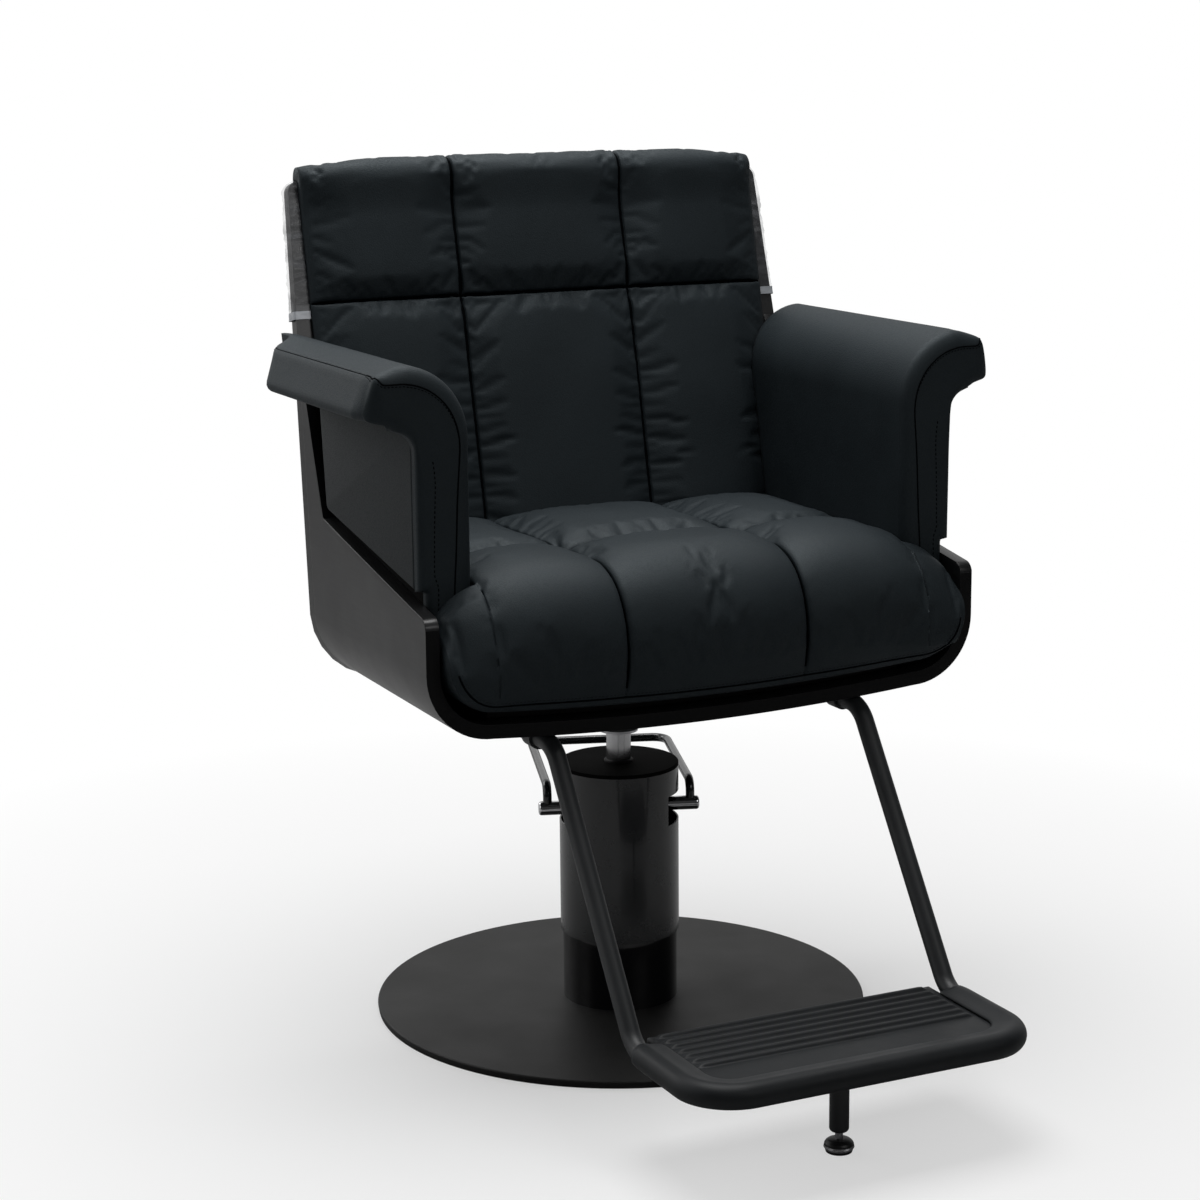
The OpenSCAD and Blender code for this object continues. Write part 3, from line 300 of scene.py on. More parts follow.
def leather(name, color, deep, level=0.42):
    """Grained leather: pebbles between creases, over large soft patches."""
    s = Shader(name, color, 0.64)
    push = s.node("ShaderNodeTexNoise", {"Vector": s.coord, "Scale": 260.0, "Detail": 2.0})
    shift = s.node("ShaderNodeVectorMath", {0: push.outputs["Color"], "Scale": 0.0016}, operation="SCALE")
    warped = s.node("ShaderNodeVectorMath", {0: s.coord, 1: shift.outputs[0]}, operation="ADD")
    pebbles = s.cells(1.5, "F1", warped.outputs[0])
    creases = s.ramp(pebbles, 0.25, 0.75, 1, 0)
    large = s.noise(60, 3)
    fine = s.noise(0.5, 2)
    s.link("Base Color", s.mix(s.ramp(large, 0.3, 0.7, 0, 1), color, deep))
    s.link("Roughness", s.ramp(s.math("ADD", creases, large), 0.3, 1.6, 0.70, 0.58))
    s.set("Specular IOR Level", level)
    s.set("Specular Tint", (0.84, 0.95, 1.0, 1))
    s.bump(creases, 0.45, 0.15)
    s.bump(fine, 0.25, 0.06)
    s.bump(large, 0.25, 1.2)
    return s.material


def powder(name, color, roughness, grain_mm, strength, level=0.5):
    """Powder coat with a fine grain."""
    s = Shader(name, color, roughness)
    grain = s.noise(grain_mm, 3, 0.6)
    large = s.noise(90, 4)
    low = tuple(c * 0.85 for c in color)
    high = tuple(c * 1.15 for c in color)
    s.link("Base Color", s.mix(s.ramp(large, 0.3, 0.7, 0, 1), low, high))
    s.link("Roughness", s.ramp(large, 0.3, 0.7, roughness - 0.04, roughness + 0.05))
    s.set("Specular IOR Level", level)
    s.bump(grain, strength, grain_mm * 0.12)
    return s.material


def enamel(name, color, roughness, peel=0.05):
    """Glossy enamel under a clear coat."""
    s = Shader(name, color, roughness)
    s.set("Coat Weight", 0.6)
    s.set("Coat Roughness", roughness * 0.5)
    orange_peel = s.noise(4, 1)
    dust = s.noise(25, 6, 0.7)
    s.link("Roughness", s.ramp(dust, 0.35, 0.75, roughness, roughness * 1.35 + 0.015))
    s.bump(orange_peel, peel, 0.05)
    return s.material


def lacquer(name, color, roughness):
    """Satin lacquer on veneer, whose grain runs front to back and shows faintly."""
    s = Shader(name, color, roughness)
    grain = s.noise(1, 5, 0.65, s.scaled((0.35, 0.02, 0.35)))
    patches = s.noise(120, 4)
    high = tuple(c * 1.5 + 0.004 for c in color)
    s.link("Base Color", s.mix(s.ramp(grain, 0.4, 0.7, 0, 1), color, high))
    s.link("Roughness", s.ramp(patches, 0.3, 0.7, roughness - 0.05, roughness + 0.06))
    s.set("Coat Weight", 0.25)
    s.set("Coat Roughness", 0.18)
    s.bump(grain, 0.10, 0.12)
    return s.material


def metal(name, color, roughness, ring_mm=0.0, marks=0.06):
    """Bare metal, with turning marks a given distance apart or none."""
    s = Shader(name, color, roughness, 1.0)
    smudge = s.noise(18, 4)
    s.link("Roughness", s.ramp(smudge, 0.3, 0.75, roughness, roughness + marks))
    if ring_mm:
        rings = s.noise(1, 2, 0.5, s.scaled((0.01, 0.01, 1 / ring_mm)))
        s.bump(rings, 0.12, 0.02)
    else:
        s.bump(s.noise(1.2, 3), 0.05, 0.02)
    return s.material


def plywood(name):
    """Plywood stained dark."""
    s = Shader(name, (0.014, 0.013, 0.012), 0.6)
    grain = s.noise(2, 5, 0.6, s.scaled((1, 0.06, 1)))
    share = s.ramp(grain, 0.35, 0.7, 0, 1)
    s.link("Base Color", s.mix(share, (0.018, 0.016, 0.014), (0.010, 0.009, 0.008)))
    s.bump(grain, 0.2, 0.2)
    return s.material


def film(name):
    """Clear film with a grey haze, more opaque in streaks along its creases as a painted reflection; its
    bump catches real light.
    """
    s = Shader(name, (0.26, 0.27, 0.29), 0.12)
    turned = s.node("ShaderNodeMapping", {"Vector": s.coord, "Rotation": (-0.5, 0, 0)}).outputs["Vector"]
    drawn = s.node("ShaderNodeMapping", {"Vector": turned, "Scale": (14, 14, 62)}).outputs["Vector"]
    folds = s.node("ShaderNodeTexNoise", {"Vector": drawn, "Scale": 1.0, "Detail": 2.0,
                                          "Roughness": 0.5, "Distortion": 0.3}).outputs["Fac"]
    s.set("Specular IOR Level", 0.7)
    # Painted reflection: the grey film colour shows more opaque in streaks along the creases.
    s.link("Alpha", s.ramp(folds, 0.44, 0.70, 0.12, 0.40))
    s.link("Roughness", s.ramp(folds, 0.3, 0.7, 0.10, 0.26))
    s.bump(folds, 0.5, 1.5)
    s.material.surface_render_method = "BLENDED"
    return s.material


def glide_finish(name):
    """A dark dome over a chrome band, parted at a height."""
    s = Shader(name, (0.02, 0.02, 0.02), 0.3)
    height = s.node("ShaderNodeSeparateXYZ", {0: s.coord}).outputs["Z"]
    dome = s.ramp(height, 0.0068, 0.0074, 0, 1)
    s.link("Base Color", s.mix(dome, (0.75, 0.75, 0.77), (0.012, 0.012, 0.012)))
    s.link("Metallic", s.ramp(dome, 0, 1, 1, 0))
    s.link("Roughness", s.ramp(dome, 0, 1, 0.12, 0.42))
    s.bump(s.noise(1.5, 3), 0.08, 0.03)
    return s.material


def rubber(name, color, roughness=0.62, level=0.45):
    s = Shader(name, color, roughness)
    mottle = s.noise(35, 5)
    s.link("Base Color", s.mix(s.ramp(mottle, 0.3, 0.7, 0, 1), color, tuple(c * 1.35 for c in color)))
    s.link("Roughness", s.ramp(mottle, 0.3, 0.7, roughness - 0.06, roughness + 0.06))
    s.set("Specular IOR Level", level)
    s.bump(s.noise(0.7, 3), 0.16, 0.08)
    return s.material


LEATHER = leather("black_leather", (0.0120, 0.0172, 0.0208), (0.0088, 0.0130, 0.0160))
PANEL_LEATHER = leather("panel_leather", (0.018, 0.020, 0.021), (0.013, 0.014, 0.015))
THREAD = rubber("thread", (0.010, 0.013, 0.015), 0.8, 0.2)
# Near-black seam material: painted shade at the bottom of the seam grooves, also used for the piping, the
# arm pads' seam cords and their stitches.
SEAM_THREAD_AND_SHADE = rubber("seam_shadow", (0.0012, 0.0018, 0.0024), 0.9, 0.05)
PLATE = powder("plate_black", (0.012, 0.012, 0.0117), 0.52, 1.1, 0.7, 0.34)
TUBE = powder("tube_black", (0.024, 0.026, 0.028), 0.46, 0.8, 0.25)
PUMP = powder("pump_grey", (0.06, 0.062, 0.066), 0.55, 2.0, 0.3)
GLOSS = enamel("gloss_black", (0.006, 0.006, 0.007), 0.04)
SATIN = enamel("satin_black", (0.0045, 0.006, 0.0075), 0.22, 0.03)
CAP = powder("cap_black", (0.003, 0.003, 0.003), 0.8, 0.9, 0.2, 0.06)
# Near-black matte for the arm boards: their own black, made darker as painted shade in the gaps round the
# side panels.
BLACK_BOARD_SHADE = powder("board_black_shade", (0.0025, 0.0025, 0.0025), 0.85, 0.9, 0.1, 0.08)
EDGE = powder("shell_edge", (0.0045, 0.0045, 0.0048), 0.7, 1.2, 0.3, 0.2)
SHELL = lacquer("black_shell", (0.0075, 0.0078, 0.0085), 0.38)
BACK = lacquer("back_shell", (0.010, 0.010, 0.0105), 0.36)
STEEL = metal("rod_steel", (0.62, 0.62, 0.63), 0.2, 0.6)
ZINC = metal("zinc_steel", (0.56, 0.56, 0.58), 0.30)
CHROME = metal("bright_chrome", (0.78, 0.78, 0.80), 0.06, 0.0, 0.04)
BRONZE = metal("bearing_bronze", (0.55, 0.40, 0.20), 0.35)
PLY = plywood("raw_ply")
RUBBER = rubber("black_rubber", (0.0115, 0.013, 0.0145), 0.5, 0.24)
SEAL = rubber("seal_rubber", (0.012, 0.012, 0.013))
FILM = film("clear_film")
GLIDE = glide_finish("glide_dome")
HEM = rubber("film_hem", (0.42, 0.44, 0.47), 0.25, 0.6)

NODES_OF = (
    (PLATE, "base_plate"),
    (PUMP, "pump_flange pump_cylinder pump_body"),
    (BRONZE, "cylinder_gland pedal_bushes"),
    (GLOSS, "lower_sleeve"),
    (SATIN, "upper_sleeve pedal_loop"),
    (CAP, "column_cap"),
    (SEAL, "rod_seal glide_sole"),
    (CHROME, "pedal_shafts"),
    (STEEL, "piston_rod"),
    (ZINC, "flange_screws pedal_crank pump_plunger piston_head thrust_washer seat_plate_bolts"),
    (ZINC, "clamp_screws leg_insert glide_stud"),
    (TUBE, "swivel_hub seat_plate tube_clamps foot_tray footrest_leg footrest_tube"),
    (SHELL, "seat_shell"),
    (BACK, "back_panel"),
    (PLY, "seat_board"),
    (BLACK_BOARD_SHADE, "arm_board_left arm_board_right"),
    (GLIDE, "glide_pad"),
    (RUBBER, "foot_pad"),
    (LEATHER, "seat_cushion back_cushion arm_pad_left arm_pad_right"),
    (PANEL_LEATHER, "arm_side_panel_left arm_side_panel_right"),
    (FILM, "clear_back_cover"),
)
FINISHES = {node: material for material, names in NODES_OF for node in names.split()}


def paint(obj, material):
    """Gives a piece one material everywhere."""
    if obj.data.materials:
        for i in range(len(obj.data.materials)):
            obj.data.materials[i] = material
    else:
        obj.data.materials.append(material)
    return obj


def dress(obj, node, body="seat"):
    """Gives a new piece its material and body, in place of a solid."""
    paint(obj, FINISHES[node])
    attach(obj, body)
    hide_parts(node)
    return obj


for name, material in FINISHES.items():
    paint(nodes[name], material)


# Simulation


FRAMES = 20
PRESSURE = 4.0
SEAT_GROWTH = 0.02
SEAT_TRAVEL = 5
BACK_GROWTH = 0.012
BACK_TRAVEL = 4


def inflate(obj, held, grow, cap_mm):
    """Swells a cover between its held points, and keeps each point's travel under a cap."""
    rest = np.array([v.co for v in obj.data.vertices])
    group = obj.vertex_groups.new(name="held")
    group.add([int(i) for i in np.nonzero(held)[0]], 1.0, "REPLACE")
    cloth = obj.modifiers.new("cloth", "CLOTH")
    s = cloth.settings
    s.quality = 5
    s.mass = 0.3
    s.tension_stiffness = 15
    s.compression_stiffness = 15
    s.shear_stiffness = 5
    s.bending_stiffness = 0.6
    s.vertex_group_mass = "held"
    s.use_pressure = True
    s.uniform_pressure_force = PRESSURE
    s.shrink_min = -grow
    s.effector_weights.gravity = 0
    cloth.point_cache.frame_start = 1
    cloth.point_cache.frame_end = FRAMES
    for f in range(1, FRAMES + 1):
        bpy.context.scene.frame_set(f)
    evaluated = obj.evaluated_get(bpy.context.evaluated_depsgraph_get())
    moved = np.array([v.co for v in evaluated.data.vertices]) - rest
    far = np.linalg.norm(moved, axis=1)[:, None]
    moved *= np.minimum(1, cap_mm * MM / np.maximum(far, 1e-9))
    obj.modifiers.remove(cloth)
    obj.vertex_groups.clear()
    obj.data.vertices.foreach_set("co", (rest + moved).ravel())
    obj.data.update()
    bpy.context.scene.frame_set(1)


def spline(values, at, breaks):
    """Values along the first axis at fractional places, smooth between breaks and creased at them."""
    n = len(values)
    out = []
    for s in at:
        i = min(int(s), n - 2)
        lo = max([b for b in breaks if b <= i] + [0])
        hi = min([b for b in breaks if b >= i + 1] + [n - 1])
        p1, p2 = values[i], values[i + 1]
        p0 = values[i - 1] if i - 1 >= lo else 2 * p1 - p2
        p3 = values[i + 2] if i + 2 <= hi else 2 * p2 - p1
        t = s - i
        out.append(0.5 * (2 * p1 + (p2 - p0) * t + (2 * p0 - 5 * p1 + 4 * p2 - p3) * t * t
                          + (3 * p1 - p0 - 3 * p2 + p3) * t ** 3))
    return np.array(out)


def denser(count, seams, near=(0.16, 0.34, 0.62)):
    """Fractional places along a row of points: each point, the middles, and more beside the seams."""
    places = set(np.arange(0, count - 0.4, 0.5).round(4))
    for s in seams:
        for d in near:
            places |= {round(s - d, 4), round(s + d, 4)}
    return np.array(sorted(p for p in places if 0 <= p <= count - 1))


def ring_normals(grid, closed):
    """The direction square to a grid of points at each of them."""
    du = np.gradient(grid, axis=0)
    wrapped = np.concatenate([grid[:, -1:], grid, grid[:, :1]], 1) if closed else grid
    dv = np.gradient(wrapped, axis=1)
    dv = dv[:, 1:-1] if closed else dv
    n = np.cross(du, dv)
    return n / np.maximum(np.linalg.norm(n, axis=2), 1e-9)[..., None]


def wobble(points, size, amount, seed=0.0):
    """Small uneven swelling of a grid of points."""
    flat = points.reshape(-1, 3)
    w = [noise.noise(Vector((p[0] / size + seed, p[1] / size - seed, p[2] / size))) for p in flat]
    return amount * np.array(w).reshape(points.shape[:-1])


# Seat cushion


def panel(t):
    """The height of one sewn panel across it, from 0 at its seams to 1."""
    return max(0, 1 - abs(t) ** 3) ** 0.6


def round_up(u):
    u = np.clip(u, 0, 1)
    return np.sqrt(1 - (1 - u) ** 2)


def panel_across(x, half):
    """Where a place lies across its sewn panel, from -1 to 1, on a cushion of a half width."""
    a = abs(x)
    side = (half - SEAM_X) / 2
    return x / SEAM_X if a < SEAM_X else (a - SEAM_X - side) / side


def seat_top(x, y):
    a = abs(x)
    rear_y = back_y(SEAT_TOP) - BACK_PAD_SEAM_T - BACK_PAD_CROWN
    front = round_up((SEAM_Y - y) / 42)
    rear = round_up((y - SEAM_Y) / 60) * (0.35 + 0.65 * round_up((rear_y - y) / 80))
    along = np.where(y < SEAM_Y, front, rear)
    dimple = np.exp(-((a - SEAM_X) ** 2 + (y - SEAM_Y) ** 2) / TUFT_R ** 2)
    out = max(0, a - SHOULDER_X) / (SEAT_HALF - SHOULDER_X)
    shoulder = SEAT_SHOULDER * (1 - math.sqrt(max(0, 1 - out * out)))
    drop = SEAT_SIDE_DROP * min(1, a / SEAT_STEM) ** 6
    swell = SEAT_CROWN * panel(panel_across(x, SEAT_HALF)) * along
    return SEAT_TOP - SEAT_SEAM_DROP - drop - TUFT_DEPTH * dimple - shoulder + swell


def seat_low(x):
    c = SEAT_HALF - SEAT_CORNER_R
    a = max(0, abs(x) - c)
    bow = SHELL_BOW * min(1, abs(x) / CORNER_X) ** 2
    return SEAT_FOOT + bow + SEAT_CORNER_R - math.sqrt(max(0, SEAT_CORNER_R ** 2 - a * a))


SEAM_GROOVE = 3.0
SEAM_GROOVE_W = 1.4
NOSE_STEPS = 26
FRONT_STEPS = 13
TOP_STEPS = 33
REAR_STEPS = 8
FOOT_STEPS = 20


def cut_off(upper, cut_y, low):
    """Ends the upper line at a depth, and leads the rest of its points straight down."""
    m = int(np.argmax(upper[:, 0] > cut_y))
    share = (cut_y - upper[m - 1, 0]) / (upper[m, 0] - upper[m - 1, 0])
    cut_z = upper[m - 1, 1] + share * (upper[m, 1] - upper[m - 1, 1])
    upper[m:, 0] = cut_y
    upper[m:, 1] = np.linspace(cut_z - 0.2, low + 3, len(upper) - m)
    return upper


def seat_ring(x):
    """One section of the cushion: nose, top, rear, foot and the low front face."""
    a = abs(x)
    wide = a > SEAT_STEM + GAP / 2
    low = seat_low(x)
    pad = BACK_PAD_SEAM_T + BACK_PAD_CROWN
    rear_y = back_y(SEAT_TOP) - pad - 3 - TUFT_DEPTH
    rear_low_y = -ARM_FRONT - GAP - 3 if wide else back_y(low) - pad - 3
    nose_y = SEAT_NOSE_Y + SEAT_NOSE_DEPTH
    top_front = float(seat_top(x, np.array(nose_y)))
    puff = SEAT_BULGE * panel(panel_across(x, SEAT_HALF))
    nose_z = max(low + 1, SEAT_FOOT + SEAT_NOSE_RISE - SEAT_CORNER_R / 4 * float(smooth((a - 200) / 60)))
    t = np.radians(np.linspace(0, 90, NOSE_STEPS + 1))
    nose = np.stack([nose_y - (nose_y - SEAT_NOSE_Y + puff) * np.cos(t) ** 0.8,
                     nose_z + (top_front - nose_z) * np.sin(t) ** 0.8], -1)
    front_y = np.linspace(nose_y, SEAM_Y, FRONT_STEPS + 1)[1:]
    y = np.concatenate([front_y, np.linspace(SEAM_Y, rear_y, TOP_STEPS + 1)[1:]])
    upper = np.concatenate([nose, np.stack([y, seat_top(x, y)], -1)])
    if wide:
        upper = cut_off(upper, -ARM_FRONT - GAP, low)
        rear = np.linspace(upper[-1], [rear_low_y, low], REAR_STEPS + 1)[1:]
    else:
        rear_top = [rear_y + TUFT_DEPTH / 2, upper[-1, 1] - 8]
        rear = np.linspace(rear_top, [rear_low_y, low], REAR_STEPS + 1)[1:]
    foot = np.linspace([rear_low_y, low], [SEAT_NOSE_Y + SEAT_BULGE, low], FOOT_STEPS + 1)[1:]
    lip = np.linspace(foot[-1], [SEAT_NOSE_Y - puff, nose_z], 8)[1:-1]
    lip[:, 0] -= 2.5 * np.sin(np.linspace(0, math.pi, 8))[1:-1]
    ring = np.concatenate([upper, rear, foot, lip])
    return np.concatenate([np.full((len(ring), 1), x), ring], 1)


def cushion_xs(half_seam, half, step=5.3):
    """Places across a cushion, with one exactly at each long seam."""
    inner = np.linspace(-half_seam, half_seam, 2 * round(half_seam / step) + 1)
    outer = np.linspace(half_seam, half, round((half - half_seam) / step) + 1)[1:]
    return np.concatenate([-outer[::-1], inner, outer])


def refined(obj, shape, xs, seam_row, row_breaks, seam_rings, ring_breaks, front_row):
    """A settled cover as a denser grid: its rows, places across, points, normals and seam distances."""
    n, k = shape
    grid = np.array([v.co for v in obj.data.vertices]).reshape(n, k, 3) / MM
    bpy.data.objects.remove(obj)
    rows = denser(k + 1, [seam_row])
    rows = rows[rows < k]
    columns = denser(n, seam_rings)
    closed = np.concatenate([grid, grid[:, :1]], 1)
    fine = spline(closed.transpose(1, 0, 2), rows, row_breaks).transpose(1, 0, 2)
    fine = spline(fine, columns, ring_breaks)
    x_at = np.interp(columns, np.arange(n), xs)
    normals = ring_normals(fine, True)
    if normals[len(columns) // 2, front_row, 1] > 0:
        normals = -normals
    seam_d = np.minimum(abs(x_at - SEAM_X), abs(x_at + SEAM_X))[:, None] + 0 * rows[None, :]
    return rows, x_at, fine, normals, seam_d


def groove(grid, normals, distance, depth, width):
    """Presses a rounded groove into a grid of points."""
    return grid - normals * (depth * np.exp(-(distance / width) ** 2))[..., None]


SEAM_FACE_SUM = 3.6


def paint_seam_shade(obj, seam_shade_distance):
    """Gives the faces at the bottom of a seam, from a grid of rings, a near-black material: painted shade
    in the groove.
    """
    obj.data.materials.append(SEAM_THREAD_AND_SHADE)
    n, k = seam_shade_distance.shape
    for j in range(n - 1):
        for i in range(k):
            corners = seam_shade_distance[j:j + 2, i], seam_shade_distance[j:j + 2, (i + 1) % k]
            if corners[0][0] + corners[0][1] + corners[1][0] + corners[1][1] < SEAM_FACE_SUM:
                obj.data.polygons[j * k + i].material_index = 1
    return obj


def surface(obj):
    """A search tree over a piece, in metres."""
    mesh = obj.data
    places = [v.co.copy() for v in mesh.vertices]
    return BVHTree.FromPolygons(places, [tuple(p.vertices) for p in mesh.polygons])


def settled(path, obj, sink):
    """A path of points laid on a piece, sunk into it a little."""
    tree = surface(obj)
    out = []
    for p in path:
        place, normal = tree.find_nearest(Vector(p) * MM)[:2]
        out.append(np.array(place) / MM - sink * np.array(normal))
    return resample(np.array(out), len(out))


def calm(path, rounds):
    """The path with its corners eased."""
    path = np.array(path, float)
    for _ in range(rounds):
        path[1:-1] = (path[:-2] + 2 * path[1:-1] + path[2:]) / 4
    return path


STITCH_STEP = 0.5
STITCH_SIDES = 6


def stitches(name, path, r, dash, pause):
    """Short threads along a path."""
    total = np.linalg.norm(np.diff(path, axis=0), axis=1).sum()
    fine = resample(path, int(total / STITCH_STEP))
    per, skip = round(dash / STITCH_STEP), round((dash + pause) / STITCH_STEP)
    points, faces = [], []
    for start in range(0, len(fine) - per - 1, skip):
        run = fine[start:start + per + 1:max(1, per // 4)]
        along = run[-1] - run[0]
        along /= np.linalg.norm(along)
        u = np.cross(along, [0.31, 0.17, 0.93])
        u /= np.linalg.norm(u)
        w = np.cross(along, u)
        for j, p in enumerate(run):
            thick = r * (0.35 if j in (0, len(run) - 1) else 1)
            for a in np.linspace(0, 2 * math.pi, STITCH_SIDES, endpoint=False):
                points.append(p + thick * (math.cos(a) * u + math.sin(a) * w))
        base = len(points) - STITCH_SIDES * len(run)
        for j in range(len(run) - 1):
            for i in range(STITCH_SIDES):
                a = base + STITCH_SIDES * j + i
                b = base + STITCH_SIDES * j + (i + 1) % STITCH_SIDES
                faces.append((a, b, b + STITCH_SIDES, a + STITCH_SIDES))
        faces.append(tuple(base + i for i in range(STITCH_SIDES - 1, -1, -1)))
        faces.append(tuple(len(points) - STITCH_SIDES + i for i in range(STITCH_SIDES)))
    return new_mesh(name, points, faces)


def sewn(obj, material):
    """Lets a line of sewing ride with the seat, in the material it is given."""
    paint(obj, material)
    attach(obj, "seat")
    return obj


FOLD_DEPTH = 6.0
FOLD_PEAK_R = 15
FOLD_REACH = 90
FOLD_TURN = 0.9


def tuft_folds(grid):
    """Folds that run out from the two points where the seat's seams meet."""
    fold = np.zeros(grid.shape[:2])
    for side in (-1, 1):
        dx, dy = grid[..., 0] - side * SEAM_X, grid[..., 1] - SEAM_Y
        r = np.hypot(dx, dy)
        spokes = np.maximum(0, np.cos(3 * np.arctan2(dy, dx * side) + FOLD_TURN)) ** 4
        out = r / FOLD_PEAK_R
        fold -= FOLD_DEPTH * spokes * out * np.exp(1 - out) * (r < FOLD_REACH)
    return fold


def seat_cushion():
    """The seat's cover: swollen by the simulation, then seamed and folded."""
    stem = cushion_xs(SEAM_X, SEAT_STEM)
    wing = SEAT_STEM + GAP + (SEAT_HALF - SEAT_STEM - GAP) * np.array(
        [0.0, 0.12, 0.25, 0.38, 0.5, 0.62, 0.73, 0.82, 0.9, 0.955, 0.985])
    xs = np.concatenate([-wing[::-1], stem, wing])
    rings = np.array([seat_ring(x) for x in xs])
    n, k = rings.shape[:2]
    obj = loft("seat_cover", rings)
    seam_rings = [int(np.argmin(abs(xs - s * SEAM_X))) for s in (-1, 1)]
    seam_row = NOSE_STEPS + FRONT_STEPS
    last_top = seam_row + TOP_STEPS
    cut_row = int(np.argmax(rings[0, :, 1] >= -ARM_FRONT - GAP - 0.01))
    stem_rings = abs(xs) < SEAT_STEM - 4
    held = np.ones((n, k), bool)
    held[stem_rings, :last_top - 1] = False
    held[3:-3, :cut_row - 2] = False
    held[seam_rings, :] = True
    held[np.ix_(stem_rings, [seam_row])] = True
    inflate(obj, held.ravel(), SEAT_GROWTH, SEAT_TRAVEL)
    w = len(wing)
    row_breaks = [0, cut_row - 1, cut_row, seam_row, k]
    ring_breaks = [0, w - 1, w, *seam_rings, n - 1 - w, n - w, n - 1]
    rows, x_at, fine, normals, seam_d = refined(
        obj, (n, k), xs, seam_row, row_breaks, seam_rings, ring_breaks, NOSE_STEPS // 2)
    top_part = smooth((last_top - rows) / 4)[None, :]
    front_part = np.maximum(top_part, smooth((rows - (k - 6)) / 3)[None, :])
    fine = groove(fine, normals, seam_d, SEAM_GROOVE * front_part, SEAM_GROOVE_W)
    middle_y = np.concatenate([rings[n // 2, :, 1], rings[n // 2, :1, 1]])
    row_y = np.interp(rows, np.arange(k + 1), middle_y)
    on_top = (rows > NOSE_STEPS) & (rows < last_top)
    cross = np.where(on_top, abs(row_y - SEAM_Y), 99)[None, :] + 0 * x_at[:, None]
    inside = smooth((SEAT_STEM - abs(x_at)) / 12)[:, None]
    fine = groove(fine, normals, cross, 2.0 * inside + 0 * cross, 1.6)
    pucker = np.exp(-(np.minimum(seam_d, cross) / 14) ** 2)
    ripple = wobble(fine, 12, 0.5, 3.1) * pucker + wobble(fine, 75, 1.2, 1.7)
    stem_part = inside * top_part
    fine = fine + normals * (ripple * front_part + tuft_folds(fine) * stem_part)[..., None]
    # Faces this close to a seam get the near-black seam material as painted shade.
    near = np.where(front_part > 0.5, seam_d, 99)
    near = np.minimum(near, np.where(inside > 0.9, cross, 99))
    obj = dress(loft("seat_cover", fine), "seat_cushion")
    return paint_seam_shade(obj, near)


def seat_outline(inset):
    """The cushion's lower outline seen from the front, drawn in by an inset."""
    c = SEAT_HALF - SEAT_CORNER_R
    flat = [(x, SEAT_FOOT + inset + SHELL_BOW * (x / CORNER_X) ** 2) for x in np.linspace(0, c, 60)]
    bend = arc(c, SEAT_FOOT + SHELL_BOW + SEAT_CORNER_R, SEAT_CORNER_R - inset, -88, -12, 24)
    half = np.array(flat + [tuple(p) for p in bend])
    return np.concatenate([half[:0:-1] * [-1, 1], half])


def seat_sewing(obj):
    """The piping and its row of stitches along the cushion's lower edge."""
    tree = surface(obj)
    lines = []
    for inset in (8, 11.5):
        path = []
        for x, z in resample(seat_outline(inset), 320):
            hit = tree.ray_cast(Vector((x, -400, z)) * MM, Vector((0, 1, 0)))[0]
            if hit is not None:
                path.append(np.array(hit) / MM)
        lines.append(calm(path, 3))
    sewn(tube("seat_piping", lines[0], 1.1, 8), SEAM_THREAD_AND_SHADE)
    sewn(stitches("seat_stitches", lines[1], 0.35, 3.0, 1.6), THREAD)


seat = seat_cushion()
seat_sewing(seat)


# Back cushion

BACK_FACE_STEPS = 70
BACK_UPPER_STEPS = 27
ROLL_STEPS = 12
REAR_FACE_STEPS = 30
BACK_FRONT_ROW = 60


def back_depth(x, s):
    """How far the cushion stands before the panel: a flat body with shallow sewn panels on it."""
    top = BACK_LEN + BACK_PAD_RISE
    upper = (s - (CROSS_SEAM + top) / 2) / ((top - CROSS_SEAM) / 2)
    lower = (s - (BACK_PAD_FOOT + CROSS_SEAM) / 2) / ((CROSS_SEAM - BACK_PAD_FOOT) / 2)
    along = np.maximum(0, 1 - abs(np.where(s > CROSS_SEAM, upper, lower)) ** 4) ** 0.6
    body = (1 - (abs(x) / BACK_PAD_HALF) ** 8) * round_up((s - BACK_PAD_FOOT) / 60)
    lift = BACK_PAD_SEAM_T * 1.6 * smooth((s - BACK_LEN + 2 * BACK_PAD_RISE) / (3 * BACK_PAD_RISE))
    sewn_panel = panel(panel_across(x, BACK_PAD_HALF)) * along
    swell = BACK_PAD_CROWN * (0.5 * body + 0.5 * sewn_panel)
    return BACK_PAD_SEAM_T + lift + swell


def back_ring(x):
    top = BACK_LEN + BACK_PAD_RISE - 8 * (abs(x) / BACK_PAD_HALF) ** 4
    lower = np.linspace(BACK_PAD_FOOT, CROSS_SEAM, BACK_FACE_STEPS + 1)
    upper = np.linspace(CROSS_SEAM, BACK_LEN, BACK_UPPER_STEPS + 1)[1:]
    face_s = np.concatenate([lower, upper])
    face = np.stack([-back_depth(x, face_s), face_s], -1)
    roll = BACK_T * 0.8
    t = np.radians(np.linspace(180, 0, ROLL_STEPS + 1))[1:]
    start = -float(back_depth(x, np.array(BACK_LEN)))
    middle, reach = (start + roll) / 2, (roll - start) / 2
    over = np.stack([middle + reach * np.cos(t), BACK_LEN + (top - BACK_LEN) * np.sin(t)], -1)
    rear_s = np.linspace(BACK_LEN + GAP, BACK_PAD_FOOT + GAP, REAR_FACE_STEPS + 1)
    behind = np.stack([0 * rear_s, rear_s], -1)
    seat_on = np.array([[roll / 2, BACK_LEN + GAP]])
    under = np.linspace(behind[-1], face[0], 4)[1:-1]
    ring = np.concatenate([face, over, seat_on, behind, under])
    return on_back(np.full(len(ring), x), ring[:, 0], ring[:, 1])


